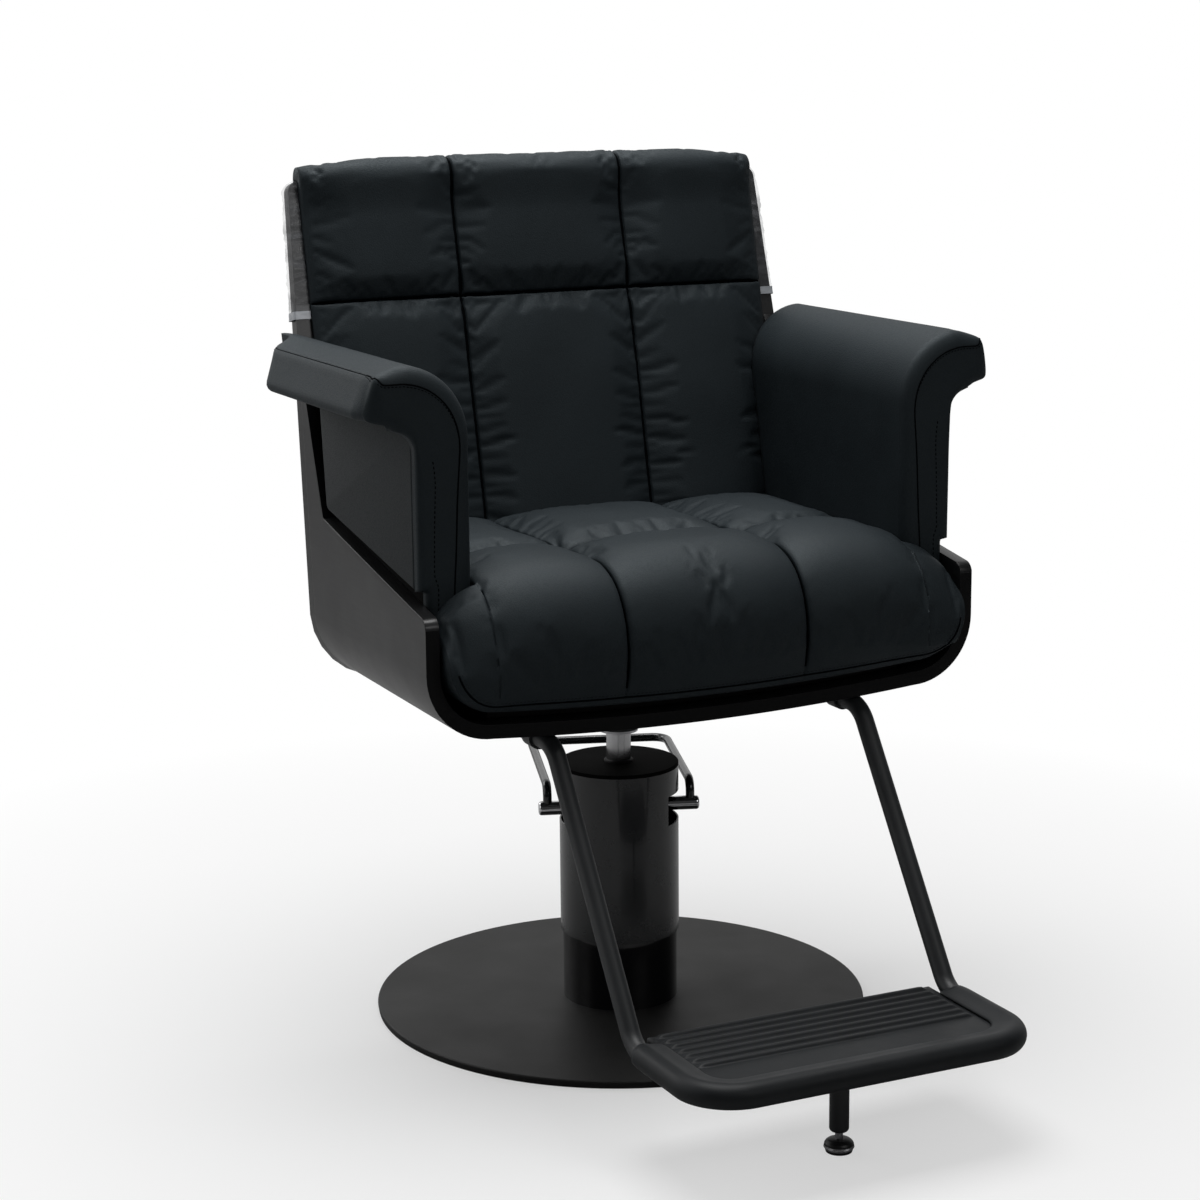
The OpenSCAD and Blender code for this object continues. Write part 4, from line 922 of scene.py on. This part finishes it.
def back_cushion():
    """The back's cover: swollen by the simulation, then seamed."""
    xs = cushion_xs(SEAM_X, BACK_PAD_HALF)
    rings = np.array([back_ring(x) for x in xs])
    n, k = rings.shape[:2]
    obj = loft("back_cover", rings)
    seam_rings = [int(np.argmin(abs(xs - s * SEAM_X))) for s in (-1, 1)]
    seam_row = BACK_FACE_STEPS
    free_rows = BACK_FACE_STEPS + BACK_UPPER_STEPS + ROLL_STEPS - 1
    held = np.ones((n, k), bool)
    held[2:-2, 2:free_rows] = False
    held[seam_rings, :] = True
    held[:, seam_row] = True
    inflate(obj, held.ravel(), BACK_GROWTH, BACK_TRAVEL)
    face_end = BACK_FACE_STEPS + BACK_UPPER_STEPS + ROLL_STEPS
    rows, x_at, fine, normals, seam_d = refined(
        obj, (n, k), xs, seam_row, [0, seam_row, face_end, k], seam_rings, [0, *seam_rings, n - 1],
        BACK_FRONT_ROW)
    face_part = smooth((face_end - rows) / 3)[None, :]
    fine = groove(fine, normals, seam_d, SEAM_GROOVE * face_part, SEAM_GROOVE_W)
    step = (CROSS_SEAM - BACK_PAD_FOOT) / BACK_FACE_STEPS
    cross = np.where(rows < face_end, abs(rows - seam_row) * step, 99)[None, :] + 0 * x_at[:, None]
    fine = groove(fine, normals, cross, SEAM_GROOVE + 0 * cross, SEAM_GROOVE_W)
    knot = np.exp(-((seam_d / 20) ** 2) - (cross / 20) ** 2)
    pucker = np.exp(-(np.minimum(seam_d, cross) / 14) ** 2)
    ripple = wobble(fine, 13, 0.5, 5.3) * pucker + wobble(fine, 80, 1.3, 2.2) - 3.0 * knot
    fine = fine + normals * (ripple * face_part)[..., None]
    # Faces this close to a seam get the near-black seam material as painted shade.
    near = np.minimum(np.where(face_part > 0.5, seam_d, 99), cross)
    return paint_seam_shade(dress(loft("back_cover", fine), "back_cushion"), near)


back = back_cushion()


# Arm pads

ARM_BASE = 12
ARM_STEPS = 110
LIP_TOP_DROP = 7
LIP_SLANT = 11
LIP_SEAM_W = 356
LIP_FRONT_R = 28
LIP_REAR_R = 44
LIP_REAR_Y = 142
LIP_FILLET = 16
STRIP_FILLET = 22
ARM_REAR_SHARE = 0.8
SHADOW_GAP = 15
ARM_BOARD_T = 9
SEAM_HALF = 1.6
SEAM_COLUMN = 6
EDGE_COLUMN = 11
CORNER_Y = -166
CORNER_OUT = 324
CORNER_ROUNDS = 8


def shell_share(y, z):
    return (y + SHELL_FRONT) / (back_y(z) + SHELL_FRONT)


def wall_in(y, z):
    v = shell_share(y, z)
    narrow = v * REAR_NARROW * smooth((2 * SHELL_HALF - CORNER_X) / (2 * SHELL_HALF - CORNER_X))
    return SHELL_HALF - v * TAPER * max(0, z - CORNER_Z) - narrow - SHELL_T


def wall_edge(y):
    rise = WALL_KNEE_H - WALL_FRONT_H
    return SHELL_Z + WALL_FRONT_H + rise * (y + SHELL_FRONT) / (WALL_KNEE_Y + SHELL_FRONT)


def arm_rear(z):
    return back_y(z) - BACK_PAD_SEAM_T - BACK_PAD_CROWN * ARM_REAR_SHARE


def arm_inner():
    """The inner and top line of an arm pad's section, from its foot to the lip's lower corner."""
    r = ARM_ROLL_R
    top = arc(ARM_IN + r, ARM_TOP - r, r, 180, 92, 30)
    corner = arc(LIP_OUT - LIP_SLANT - 12, ARM_TOP - LIP_TOP_DROP - 12, 12, 80, 10, 8)
    end = arc(LIP_OUT - 8, LIP_LOW + 8, 8, 10, -35, 5)
    return np.concatenate([[[ARM_IN, ARM_LOW]], top, corner, end])


def arm_outer(y, strip):
    """The outer line, from the foot up under the lip."""
    step_z = wall_edge(-ARM_FRONT) + SHADOW_GAP
    lip_seat = LIP_LOW - LIP_FILLET / 2
    foot_x = wall_in(y, ARM_LOW) - GAP - (1 - strip) * (ARM_BOARD_T + GAP)
    side_x = PANEL_OUT if strip else wall_in(y, lip_seat) - GAP - ARM_BOARD_T - GAP
    fillet = arc(PANEL_OUT + LIP_FILLET, LIP_LOW - LIP_FILLET, LIP_FILLET, 160, 95, 6)
    if strip:
        fillet = arc(PANEL_OUT + STRIP_FILLET, LIP_LOW - 34, STRIP_FILLET, 178, 115, 8)
        lip_seat = LIP_LOW - 36
    under = arc(LIP_OUT - 8, LIP_LOW + 8, 8, -70, -35, 3)
    start = [[foot_x, ARM_LOW], [foot_x, step_z], [side_x, step_z + 1], [side_x, lip_seat]]
    return np.concatenate([start, fillet, under])


def with_seam(line, n, at):
    """Shares of the line in n steps, with three of them at a place along it for a seam."""
    even = np.linspace(0, 1, n - 2)
    half = SEAM_HALF / length_of(line)
    return np.sort(np.concatenate([even, [at - half, at, at + half]]))


def length_of(line):
    return np.linalg.norm(np.diff(line, axis=0), axis=1).sum()


def points_at(line, shares):
    d = np.concatenate([[0], np.cumsum(np.linalg.norm(np.diff(line, axis=0), axis=1))])
    return np.stack([np.interp(shares * d[-1], d, line[:, i]) for i in (0, 1)], -1)


def rounded(d, r):
    """How far an edge of radius r falls back at a distance from its end."""
    u = np.clip(r - d, 0, r)
    return r - np.sqrt(r * r - u * u)


def squeeze(x, reach, r):
    """Draws the lip in, so that it ends at reach instead of its full width."""
    start = LIP_OUT - r
    return x if x <= start else start + (x - start) * (reach - start) / r


def lip_reach(y):
    """How far the lip reaches at a depth, with its front and rear end rounded in plan."""
    front = rounded(y + ARM_FRONT, LIP_FRONT_R)
    rear = rounded(LIP_REAR_Y - y, LIP_REAR_R) if y > LIP_REAR_Y - LIP_REAR_R else 0
    return LIP_OUT - front, LIP_OUT - rear


def fit(x, y):
    """Draws a place on the lip in to the pad's outline in plan."""
    front, back = lip_reach(y)
    return squeeze(x, front, LIP_FRONT_R) if y < 0 else squeeze(x, back, LIP_REAR_R)


def arm_rows(inner, shares, rear):
    """The pad's sections from front to rear: depth, inner line and outer line."""
    lip_turn = LIP_REAR_Y + ARM_FRONT - LIP_REAR_R
    depths = np.concatenate([
        [ARM_BASE],
        ARM_BASE + np.array([0.6, 2.5, 5, 8, 12, 17]),
        np.linspace(34, lip_turn, 44),
        lip_turn + LIP_REAR_R * np.sin(np.radians(np.linspace(8, 90, 14))),
        np.linspace(LIP_REAR_Y + 6, rear, 5) + ARM_FRONT])
    strip_end = -ARM_FRONT + ARM_BASE + 0.3
    return [(y, inner, points_at(arm_outer(y, 1 if y < strip_end else 0), shares))
            for y in depths - ARM_FRONT]


def cap_shares(p, width):
    """Where an end face's points lie across the band, with the seam's three among them."""
    rise = smooth((p[1] - ARM_TOP + 130) / 110)
    seam_d = 24 - 6 * rise - 8 * smooth((p[0] - 320) / 40)
    before = (seam_d - SEAM_HALF) * np.array([0, 0.06, 0.17, 0.33, 0.55, 0.78, 1])
    near = np.concatenate([before, [seam_d, seam_d + SEAM_HALF]]) * min(1, width * 0.45 / seam_d)
    left = np.array([0.12, 0.28, 0.44, 0.56, 0.66, 0.78, 0.88, 0.95])
    return np.concatenate([near, near[-1] + (width - near[-1]) * left]) / width


def front_point(p, inner_x, share, width):
    """Where a point of the front face lies across, and how far its rounded edges set it back."""
    start = LIP_OUT - LIP_FRONT_R
    turn = math.acos(1 - ARM_BASE / LIP_FRONT_R)
    s = max(0, p[0] - start)
    lip = LIP_FRONT_R * (1 - math.cos(turn * min(1, s / LIP_FRONT_R)))
    x = p[0] if s <= 0 else start + LIP_FRONT_R * math.sin(turn * min(1, s / LIP_FRONT_R))
    soft = 0.66 * float(rounded(share * width, 20 if inner_x < start else 14))
    if p[0] < start + 12:
        outer = 0.9 * float(rounded((1 - share) * width, 11))
    else:
        outer = float(rounded((1 - share) * width, 7))
    foot = float(rounded(p[1] - ARM_LOW, 6))
    return x, min(ARM_BASE, math.sqrt(lip ** 2 + soft ** 2 + outer ** 2 + foot ** 2))


class PadSkin:
    """The points, faces and lines of sewing of an arm pad while it is built."""

    def __init__(self, seam_i, rear):
        self.seam_i = seam_i
        self.rear = rear
        self.points = []
        self.faces = []
        self.sewing = []
        self.edging = []

    def place(self, x, z, y):
        """Adds a point, with its depth drawn out so that the rear end leans with the back."""
        v = (y + ARM_FRONT) / (self.rear + ARM_FRONT)
        self.points.append([x, -ARM_FRONT + v * (arm_rear(z) + ARM_FRONT), z])
        return len(self.points) - 1

    def ring(self, y, a, b):
        """One section's points along the inner line, which dips at the seam, and the outer line."""
        line = []
        for i, p in enumerate(a):
            dip = 1.3 if i == self.seam_i and y > -ARM_FRONT + ARM_BASE + 3 else 0
            line.append(self.place(fit(p[0], y) - dip * 0.5, p[1] - dip * 0.85, y))
        return line, [self.place(fit(p[0], y), p[1], y) for p in b]

    def band(self, rings):
        """The faces between neighbouring sections."""
        for (a, b), (c, d) in zip(rings, rings[1:]):
            near, far = a + b[::-1], c + d[::-1]
            k = len(near)
            self.faces += [(near[i], near[(i + 1) % k], far[(i + 1) % k], far[i]) for i in range(k)]

    def cap(self, row, line_a, line_b, front):
        """An end face between the two lines of a section."""
        y, a, b = row
        grid = []
        for i in range(len(a)):
            width = max(0.01, np.linalg.norm(b[i] - a[i]))
            line = [line_a[i]]
            for j, share in enumerate(cap_shares(a[i], width)[1:]):
                p = a[i] + (b[i] - a[i]) * share
                if not front:
                    line.append(self.place(fit(p[0], y), p[1], y))
                    continue
                x, back = front_point(p, a[i][0], share, width)
                line.append(self.place(x, p[1], -ARM_FRONT + back))
                if j == SEAM_COLUMN and i < self.seam_i - 2:
                    self.sewing.append(self.points[-1])
                if j == EDGE_COLUMN and i < self.seam_i and p[1] < LIP_LOW - 40:
                    self.edging.append(self.points[-1])
            grid.append(line + [line_b[i]])
        for here, then in zip(grid, grid[1:]):
            self.faces += [(here[w], here[w + 1], then[w + 1], then[w]) for w in range(len(here) - 1)]


def soften_corner(obj):
    """Joins doubled points and eases the lip's front corner."""
    bm = bmesh.new()
    bm.from_mesh(obj.data)
    bmesh.ops.remove_doubles(bm, verts=bm.verts, dist=0.02 * MM)
    corner = [v for v in bm.verts if v.co.y < CORNER_Y * MM and abs(v.co.x) > CORNER_OUT * MM
              and v.co.z > (LIP_LOW - 8) * MM]
    for _ in range(CORNER_ROUNDS):
        bmesh.ops.smooth_vert(bm, verts=corner, factor=0.5,
                              use_axis_x=True, use_axis_y=True, use_axis_z=True)
    bm.to_mesh(obj.data)
    bm.free()
    return outward(obj)


def arm_pad(side, name):
    """A pad as a band between its inner and outer line, with rounded front edges and a long seam."""
    line = arm_inner()
    seam_at = np.argmax((line[:, 0] >= LIP_SEAM_W) & (line[:, 1] > ARM_TOP - 30))
    seam_share = length_of(line[:seam_at + 1]) / length_of(line)
    shares = with_seam(line, ARM_STEPS, seam_share)
    rear = arm_rear(ARM_TOP)
    skin = PadSkin(int(np.argmin(abs(shares - seam_share))), rear)
    rows = arm_rows(points_at(line, shares), shares, rear)
    rings = [skin.ring(*row) for row in rows]
    skin.band(rings)
    skin.cap(rows[0], *rings[0], True)
    skin.cap(rows[-1], *rings[-1], False)
    skin.sewing += [skin.points[a[skin.seam_i]] for a, b in rings[4:-5]]
    points = np.array(skin.points)
    points[:, 0] += wobble(points, 60, 0.5, 4.4)
    points[:, 0] *= side
    lines = [calm(resample(np.array(path) * [side, 1, 1], count), 6)
             for path, count in ((skin.sewing, 420), (skin.edging, 90))]
    return soften_corner(new_mesh(name, points, skin.faces)), lines


def arm_sewing(obj, lines, word):
    """An arm pad's long seam with a row of stitches beside it, and the short row near its edge."""
    path, edge = lines
    sewn(tube("arm_seam_" + word, settled(path, obj, 0.1), 0.9, 8), SEAM_THREAD_AND_SHADE)
    beside = path + np.array([0, 1.2, -2.6])
    sewn(stitches("arm_stitches_" + word, settled(beside, obj, -0.1), 0.45, 2.6, 1.6), SEAM_THREAD_AND_SHADE)
    sewn(stitches("arm_edge_stitches_" + word, settled(edge, obj, -0.1), 0.6, 3.0, 1.8), SEAM_THREAD_AND_SHADE)


for side, word in ((-1, "left"), (1, "right")):
    node = "arm_pad_" + word
    pad, sewing = arm_pad(side, "arm_cover_" + word)
    dress(pad, node)
    arm_sewing(pad, sewing, word)


# Side panels under the lips


def side_panel(side, name, node):
    low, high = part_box(node)
    front, rear = low[1] / MM, high[1] / MM
    low_front = wall_edge(front) + SHADOW_GAP
    panel_rear = WALL_KNEE_Y - 16
    low_rear = wall_edge(panel_rear) + SHADOW_GAP
    top = high[2] / MM
    corner = 8
    slope = math.degrees(math.atan2(low_rear - low_front, panel_rear - front))
    outline = np.concatenate([[[front, low_front]],
                              arc(panel_rear - corner, low_rear + corner, corner, 270 + slope, 360, 6),
                              [[rear, top], [front, top]]])
    inside, outside = (PANEL_OUT - 8) * side, PANEL_OUT * side
    rings = [[[x, p[0], p[1]] for p in outline] for x in (inside, outside)]
    return bevel(loft(name, rings), 2.5, 4)


for side, word in ((-1, "left"), (1, "right")):
    node = "arm_side_panel_" + word
    panel = dress(side_panel(side, "side_panel_" + word, node), node)


# Seat shell


def shell_place(x, z, v):
    narrow = v * REAR_NARROW * smooth((2 * x - CORNER_X) / (2 * SHELL_HALF - CORNER_X))
    x = x - v * TAPER * max(0, z - CORNER_Z) - narrow
    return [x, -SHELL_FRONT + v * (back_y(z) + SHELL_FRONT), z]


def meet(p, q, v):
    b = back_y(p[1])
    t = (v * (b + SHELL_FRONT) - p[0] - SHELL_FRONT) / (q[0] - p[0] - v * (back_y(q[1]) - b))
    return p[1] + t * (q[1] - p[1])


def wall_top(v):
    first = (-SHELL_FRONT, SHELL_Z + WALL_FRONT_H)
    knee = (WALL_KNEE_Y, SHELL_Z + WALL_KNEE_H)
    end_z = SHELL_Z + WALL_END_H
    knee_share = (WALL_KNEE_Y + SHELL_FRONT) / (back_y(knee[1]) + SHELL_FRONT)
    if v >= knee_share:
        return meet(knee, (back_y(end_z), end_z), v)
    u = 1 - min(1, v * (back_y(first[1]) + SHELL_FRONT) / WALL_ROUND)
    return meet(first, knee, v) - WALL_ROUND * (1 - math.sqrt(1 - u * u))


def shell_ring(v):
    top = wall_top(v)

    def half(inset):
        foot = [(x, SHELL_Z + inset + SHELL_BOW * (x / CORNER_X) ** 2)
                for x in np.linspace(0, CORNER_X, 21)[:-1]]
        corner = [tuple(p) for p in arc(CORNER_X, CORNER_Z, SHELL_R - inset, -90, 0, 16)]
        wall = [(SHELL_HALF - inset, CORNER_Z + (top - CORNER_Z) * i / 12) for i in range(1, 13)]
        return [shell_place(x, z, v) for x, z in foot + corner + wall]

    def flip(p):
        return [-p[0], p[1], p[2]]

    out, inn = half(0), half(SHELL_T)
    return [flip(p) for p in out[:0:-1]] + out + inn[::-1] + [flip(p) for p in inn[1:]]


def seat_shell():
    knee_z = SHELL_Z + WALL_KNEE_H
    knee_share = (WALL_KNEE_Y + SHELL_FRONT) / (back_y(knee_z) + SHELL_FRONT)
    first = WALL_ROUND / (SHELL_FRONT + BACK_FOOT_Y)
    shares = [first * s for s in (0, 0.04, 0.12, 0.25, 0.42, 0.62, 0.82)]
    shares += list(np.linspace(first, knee_share, 30)) + list(np.linspace(knee_share, 1, 16)[1:])
    obj = loft("bent_shell", [shell_ring(v) for v in shares])
    obj.data.materials.append(SHELL)
    obj.data.materials.append(EDGE)
    obj.data.polygons[len(obj.data.polygons) - 2].material_index = 1
    return bevel(obj, 1.6, 3, 50)


shell = seat_shell()
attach(shell, "seat")
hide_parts("seat_shell")


# Footrest


def half_tube_path():
    turn = math.pi / 2 - TUBE_SLOPE
    bend = TUBE_BEND_R * math.tan(turn / 2)
    run_z = SHELL_Z + SHELL_BOW * (TUBE_HALF_W / CORNER_X) ** 2 - GAP - TUBE_R
    top_y = -224
    foot_y = top_y - (run_z - FOOT_Z) * math.tan(TUBE_SLOPE)
    deg = math.degrees(turn)
    upper = arc(top_y + bend, run_z - TUBE_BEND_R, TUBE_BEND_R, 90, 90 + deg, 14)
    lower = arc(foot_y - bend, FOOT_Z + TUBE_BEND_R, TUBE_BEND_R, deg - 90, -90, 14)
    corner = arc(TUBE_HALF_W - TUBE_CORNER_R, TUBE_CORNER_R - FOOT_FRONT, TUBE_CORNER_R, 0, -90, 16)
    side = [[TUBE_HALF_W, p[0], p[1]] for p in np.concatenate([upper, lower])]
    straight = [[TUBE_HALF_W, y, run_z] for y in (-90, -91, -130, -175)]
    return np.array(straight + side + [[p[0], p[1], FOOT_Z] for p in corner])


def footrest_tube():
    right = half_tube_path()
    left = right[::-1] * [-1, 1, 1]
    return tube("footrest_bar", np.concatenate([right, left]), TUBE_R, 32)


dress(footrest_tube(), "footrest_tube")


ROLL_R = 13.4
ROLL_FLANGE = 22
ROLL_START_Y = -424
FIELD_DROP = 1.4
FIELD_EDGE = 4.0
RIB_H = 3.2
RIB_HALF_W = 3.8
RIB_COUNT = 7
RIB_PITCH = 14.5
END_DRAW = (0.94, 0.985, 1)


def roll_section():
    """The pad's border across the tube: distance outside the tube's middle line, and height over it."""
    top = arc(0, 0, ROLL_R, 108, -48, 22)
    end = arc(0, 0, TUBE_R + 0.3, -48, 112, 18)
    lip = [[-ROLL_FLANGE + 1, 7.2], [-ROLL_FLANGE - 0.4, 7.9], [-ROLL_FLANGE, 9.2],
           [-ROLL_FLANGE + 2, 9.9], [-14, 10.6], [-9, 11.6]]
    return np.concatenate([end, lip, top])


def pad_roll():
    """The pad's border, which is moulded over the tube on three sides."""
    straight = [[TUBE_HALF_W, y] for y in np.linspace(ROLL_START_Y, TUBE_CORNER_R - FOOT_FRONT, 14)[:-1]]
    corner = arc(TUBE_HALF_W - TUBE_CORNER_R, TUBE_CORNER_R - FOOT_FRONT, TUBE_CORNER_R, 0, -90, 20)
    front = [[x, -FOOT_FRONT] for x in np.linspace(TUBE_HALF_W - TUBE_CORNER_R, 0, 16)[1:]]
    half = np.array(straight + [list(p) for p in corner] + front)
    path = np.concatenate([half, half[-2::-1] * [-1, 1]])
    along = np.gradient(path, axis=0)
    along /= np.linalg.norm(along, axis=1)[:, None]
    out = np.stack([-along[:, 1], along[:, 0]], -1)
    section = roll_section()
    rings = []
    for i, (p, o) in enumerate(zip(path, out)):
        near_end = min(i, len(path) - 1 - i)
        draw = END_DRAW[min(near_end, 2)]
        rings.append([[p[0] + o[0] * s[0] * draw, p[1] + o[1] * s[0] * draw, FOOT_Z + s[1] * draw]
                      for s in section])
    return loft("pad_border", rings)


def rib_swell(x, y, rear):
    """How far the ribs stand up, from 0 to 1, over a grid of places."""
    ribs = np.zeros_like(x)
    end = TUBE_HALF_W - TUBE_R - 22
    for i in range(RIB_COUNT):
        off = np.hypot(y - (rear - 8 - RIB_PITCH * i), np.maximum(0, abs(x) - end))
        ribs = np.maximum(ribs, np.sqrt(np.maximum(0, 1 - (off / RIB_HALF_W) ** 2)))
    return ribs


def slab(name, top, foot):
    """A closed piece between a grid of points and a flat underside."""
    n, k = top.shape[:2]
    under = top.copy()
    under[..., 2] = foot
    points = np.concatenate([top.reshape(-1, 3), under.reshape(-1, 3)])

    def at(j, i, layer):
        return layer * n * k + j * k + i

    faces = [(at(j, i, 0), at(j, i + 1, 0), at(j + 1, i + 1, 0), at(j + 1, i, 0))
             for j in range(n - 1) for i in range(k - 1)]
    border = [(0, i) for i in range(k)] + [(j, k - 1) for j in range(1, n)]
    border += [(n - 1, i) for i in range(k - 2, -1, -1)] + [(j, 0) for j in range(n - 2, 0, -1)]
    for here, then in zip(border, border[1:] + border[:1]):
        faces.append((at(*here, 0), at(*then, 0), at(*then, 1), at(*here, 1)))
    faces.append(tuple(at(*b, 1) for b in border))
    obj = new_mesh(name, points, faces)
    bm = bmesh.new()
    bm.from_mesh(obj.data)
    bmesh.ops.delete(bm, geom=[v for v in bm.verts if not v.link_faces], context="VERTS")
    bm.to_mesh(obj.data)
    bm.free()
    return outward(obj)


def pad_field():
    """The pad's tread: a flat field inside the border, with raised ribs."""
    low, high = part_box("foot_pad")
    foot, crest = low[2] / MM, high[2] / MM - 2
    rear, front = high[1] / MM, -FOOT_FRONT + ROLL_FLANGE - 3
    half = TUBE_HALF_W - ROLL_FLANGE + 3
    r = TUBE_CORNER_R - ROLL_FLANGE + 3
    v = np.concatenate([np.linspace(0, FIELD_EDGE, 6), np.linspace(5, rear - front, 130)])
    y = rear - v
    into = np.clip((front + r) - y, 0, r)
    width = half - r + np.sqrt(np.maximum(0, r * r - into * into))
    x = np.linspace(-1, 1, 90)[None, :] * width[:, None]
    yy = y[:, None] + 0 * x
    d = np.minimum(rear - yy, FIELD_EDGE)
    rounded_rear = FIELD_EDGE - np.sqrt(FIELD_EDGE ** 2 - (FIELD_EDGE - d) ** 2)
    z = crest - rounded_rear - FIELD_DROP + RIB_H * rib_swell(x, yy, rear)
    return slab("ribbed_pad", np.stack([x, yy, z], -1), foot)


tread, border = pad_field(), pad_roll()
dress(tread, "foot_pad")
dress(border, "foot_pad")


# Clear film over the back panel's top

COVER_H = 150
COVER_OFF = 1.1
FILM_IN = BACK_PAD_HALF + 2 * GAP
HEM_H = 8


def film_section(s, off):
    """The film's line round the panel at a height, from one front edge to the other."""
    up = max(0, s - BACK_LEN + BACK_CORNER_R)
    corner = BACK_CORNER_R - math.sqrt(max(0, BACK_CORNER_R ** 2 - up * up))
    w = max(FILM_IN + 1.5, SHELL_HALF - (SHELL_HALF - BACK_TOP_W / 2) * s / BACK_LEN + off - corner)
    side = [[FILM_IN, -off], [w - 1, -off], [w, 0], [w, BACK_T], [w - 1, BACK_T + off]]
    return np.array(side + [[-p[0], p[1]] for p in side[::-1]])


def film_sheet(name, low, high, rows, off, crease):
    """A thin sheet round the panel between two heights, crumpled a little."""
    grid = []
    for s in np.linspace(low, high, rows):
        line = film_section(s, off)
        flat = resample(line[4:6], 150)
        ends = resample(line[:5], 34)
        line = np.concatenate([ends[:-1], flat, (ends * [-1, 1])[:-1][::-1]])
        grid.append(on_back(line[:, 0], line[:, 1], np.full(len(line), s)))
    grid = np.array(grid)
    n, k = grid.shape[:2]
    faces = [(j * k + i, j * k + i + 1, (j + 1) * k + i + 1, (j + 1) * k + i)
             for j in range(n - 1) for i in range(k - 1)]
    normals = ring_normals(grid, False)
    if normals[n // 2, k // 2, 1] < 0:
        normals = -normals
    slanted = grid @ np.array([[1, 0, 0.5], [0, 1, 0.5], [0, 0, 1.0]]).T
    folds = abs(wobble(slanted * [0.6, 0.6, 2.2], 16, crease, 8.1))
    folds = folds + abs(wobble(slanted, 42, crease, 1.2))
    grid = grid + normals * folds[..., None]
    return new_mesh(name, grid.reshape(-1, 3), faces)


def clear_cover():
    foot = BACK_LEN - COVER_H / math.cos(BACK_LEAN)
    top = BACK_LEN - 0.5
    cover = film_sheet("film_cover", foot, top, 70, COVER_OFF, 2.4)
    hem = film_sheet("film_hem", foot - 1, foot + HEM_H, 6, COVER_OFF + 0.9, 1.0)
    dress(cover, "clear_back_cover")
    dress(hem, "clear_back_cover")
    hem.data.materials[0] = HEM


clear_cover()


# Camera, at the photograph's angle

FOCAL_PX = 2709.3
IMAGE_PX = 1200
SENSOR_MM = 36
CAMERA_AT = Vector((-1304.5, -2680.0, 1090.0)) * MM
LOOK_AT = Vector((-17.6, 8.4, 470.4)) * MM
ROLL = math.radians(-0.53)


def camera():
    forward = (LOOK_AT - CAMERA_AT).normalized()
    right = forward.cross(Vector((0, 0, 1))).normalized()
    up = right.cross(forward)
    c, s = math.cos(ROLL), math.sin(ROLL)
    right, up = right * c + up * s, up * c - right * s
    data = bpy.data.cameras.new("camera")
    data.sensor_width = SENSOR_MM
    data.lens = FOCAL_PX / IMAGE_PX * SENSOR_MM
    obj = bpy.data.objects.new("camera", data)
    bpy.context.scene.collection.objects.link(obj)
    turn = Matrix((right, up, -forward)).transposed().to_4x4()
    obj.matrix_world = Matrix.Translation(CAMERA_AT) @ turn
    bpy.context.scene.camera = obj


camera()


# Floor, backdrop and light


FLOOR_SHADE = 0.35
BACKDROP_LIGHT = 0.60
FRONT_LIGHT = 0.03


def floor():
    bpy.ops.mesh.primitive_circle_add(vertices=96, radius=9, fill_type="NGON", location=(0, 0, -0.0005))
    obj = bpy.context.object
    obj.name = "floor"
    s = Shader("floor", (0.82, 0.82, 0.82), 0.75)
    s.set("Specular IOR Level", 0.1)
    out = s.tree.nodes["Material Output"]
    white = s.node("ShaderNodeEmission", {"Color": (1, 1, 1, 1), "Strength": 1.0}).outputs[0]
    far = s.node("ShaderNodeVectorMath", {0: s.coord}, operation="LENGTH").outputs["Value"]
    seen = s.node("ShaderNodeLightPath").outputs["Is Camera Ray"]
    s.link("Base Color", s.mix(seen, (FLOOR_SHADE,) * 3, (0.82,) * 3))
    share = s.math("MULTIPLY", s.ramp(far, 0.30, 1.3, 0.45, 1.0), seen)
    mix = s.node("ShaderNodeMixShader", {0: share, 1: s.bsdf.outputs[0], 2: white})
    s.tree.links.new(mix.outputs[0], out.inputs[0])
    paint(obj, s.material)


def world():
    """A white backdrop behind the object and a dark room before it; the camera sees plain white."""
    w = bpy.data.worlds.new("studio")
    bpy.context.scene.world = w
    w.use_nodes = True
    tree = w.node_tree
    background = tree.nodes["Background"]
    background.inputs[0].default_value = (1, 1, 1, 1)
    direction = add_node(tree, "ShaderNodeTexCoord").outputs["Generated"]
    depth = add_node(tree, "ShaderNodeSeparateXYZ", {0: direction}).outputs["Y"]
    behind = add_node(tree, "ShaderNodeMapRange", {"Value": depth, "From Min": -0.1, "From Max": 0.75,
                                                   "To Min": FRONT_LIGHT, "To Max": BACKDROP_LIGHT},
                      interpolation_type="SMOOTHSTEP").outputs[0]
    rays = add_node(tree, "ShaderNodeLightPath").outputs
    seen = add_node(tree, "ShaderNodeMath", {0: rays["Is Camera Ray"], 1: rays["Is Transmission Ray"]},
                    operation="MAXIMUM").outputs[0]
    strength = add_node(tree, "ShaderNodeMapRange", {"Value": seen, "To Min": behind, "To Max": 1.0})
    tree.links.new(strength.outputs[0], background.inputs[1])


def lamp(name, at, to, size, power):
    data = bpy.data.lights.new(name, "AREA")
    data.shape = "RECTANGLE"
    data.size, data.size_y = size
    data.energy = power
    obj = bpy.data.objects.new(name, data)
    bpy.context.scene.collection.objects.link(obj)
    obj.location = at
    obj.rotation_euler = (Vector(to) - Vector(at)).to_track_quat("-Z", "Y").to_euler()


floor()
world()
lamp("top", (0.0, 0.2, 2.7), (0, 0, 0.4), (1.8, 1.8), 53)
lamp("left", (-2.6, 0.4, 1.3), (0, 0, 0.5), (0.9, 1.8), 4.5)
lamp("front", (0.9, -3.2, 2.2), (0, 0, 0.4), (1.4, 1.0), 10)
lamp("rear", (-1.5, 2.4, 1.9), (-1.2, 2.2, 0), (1.6, 1.6), 20)
bpy.context.scene.view_settings.view_transform = "Standard"
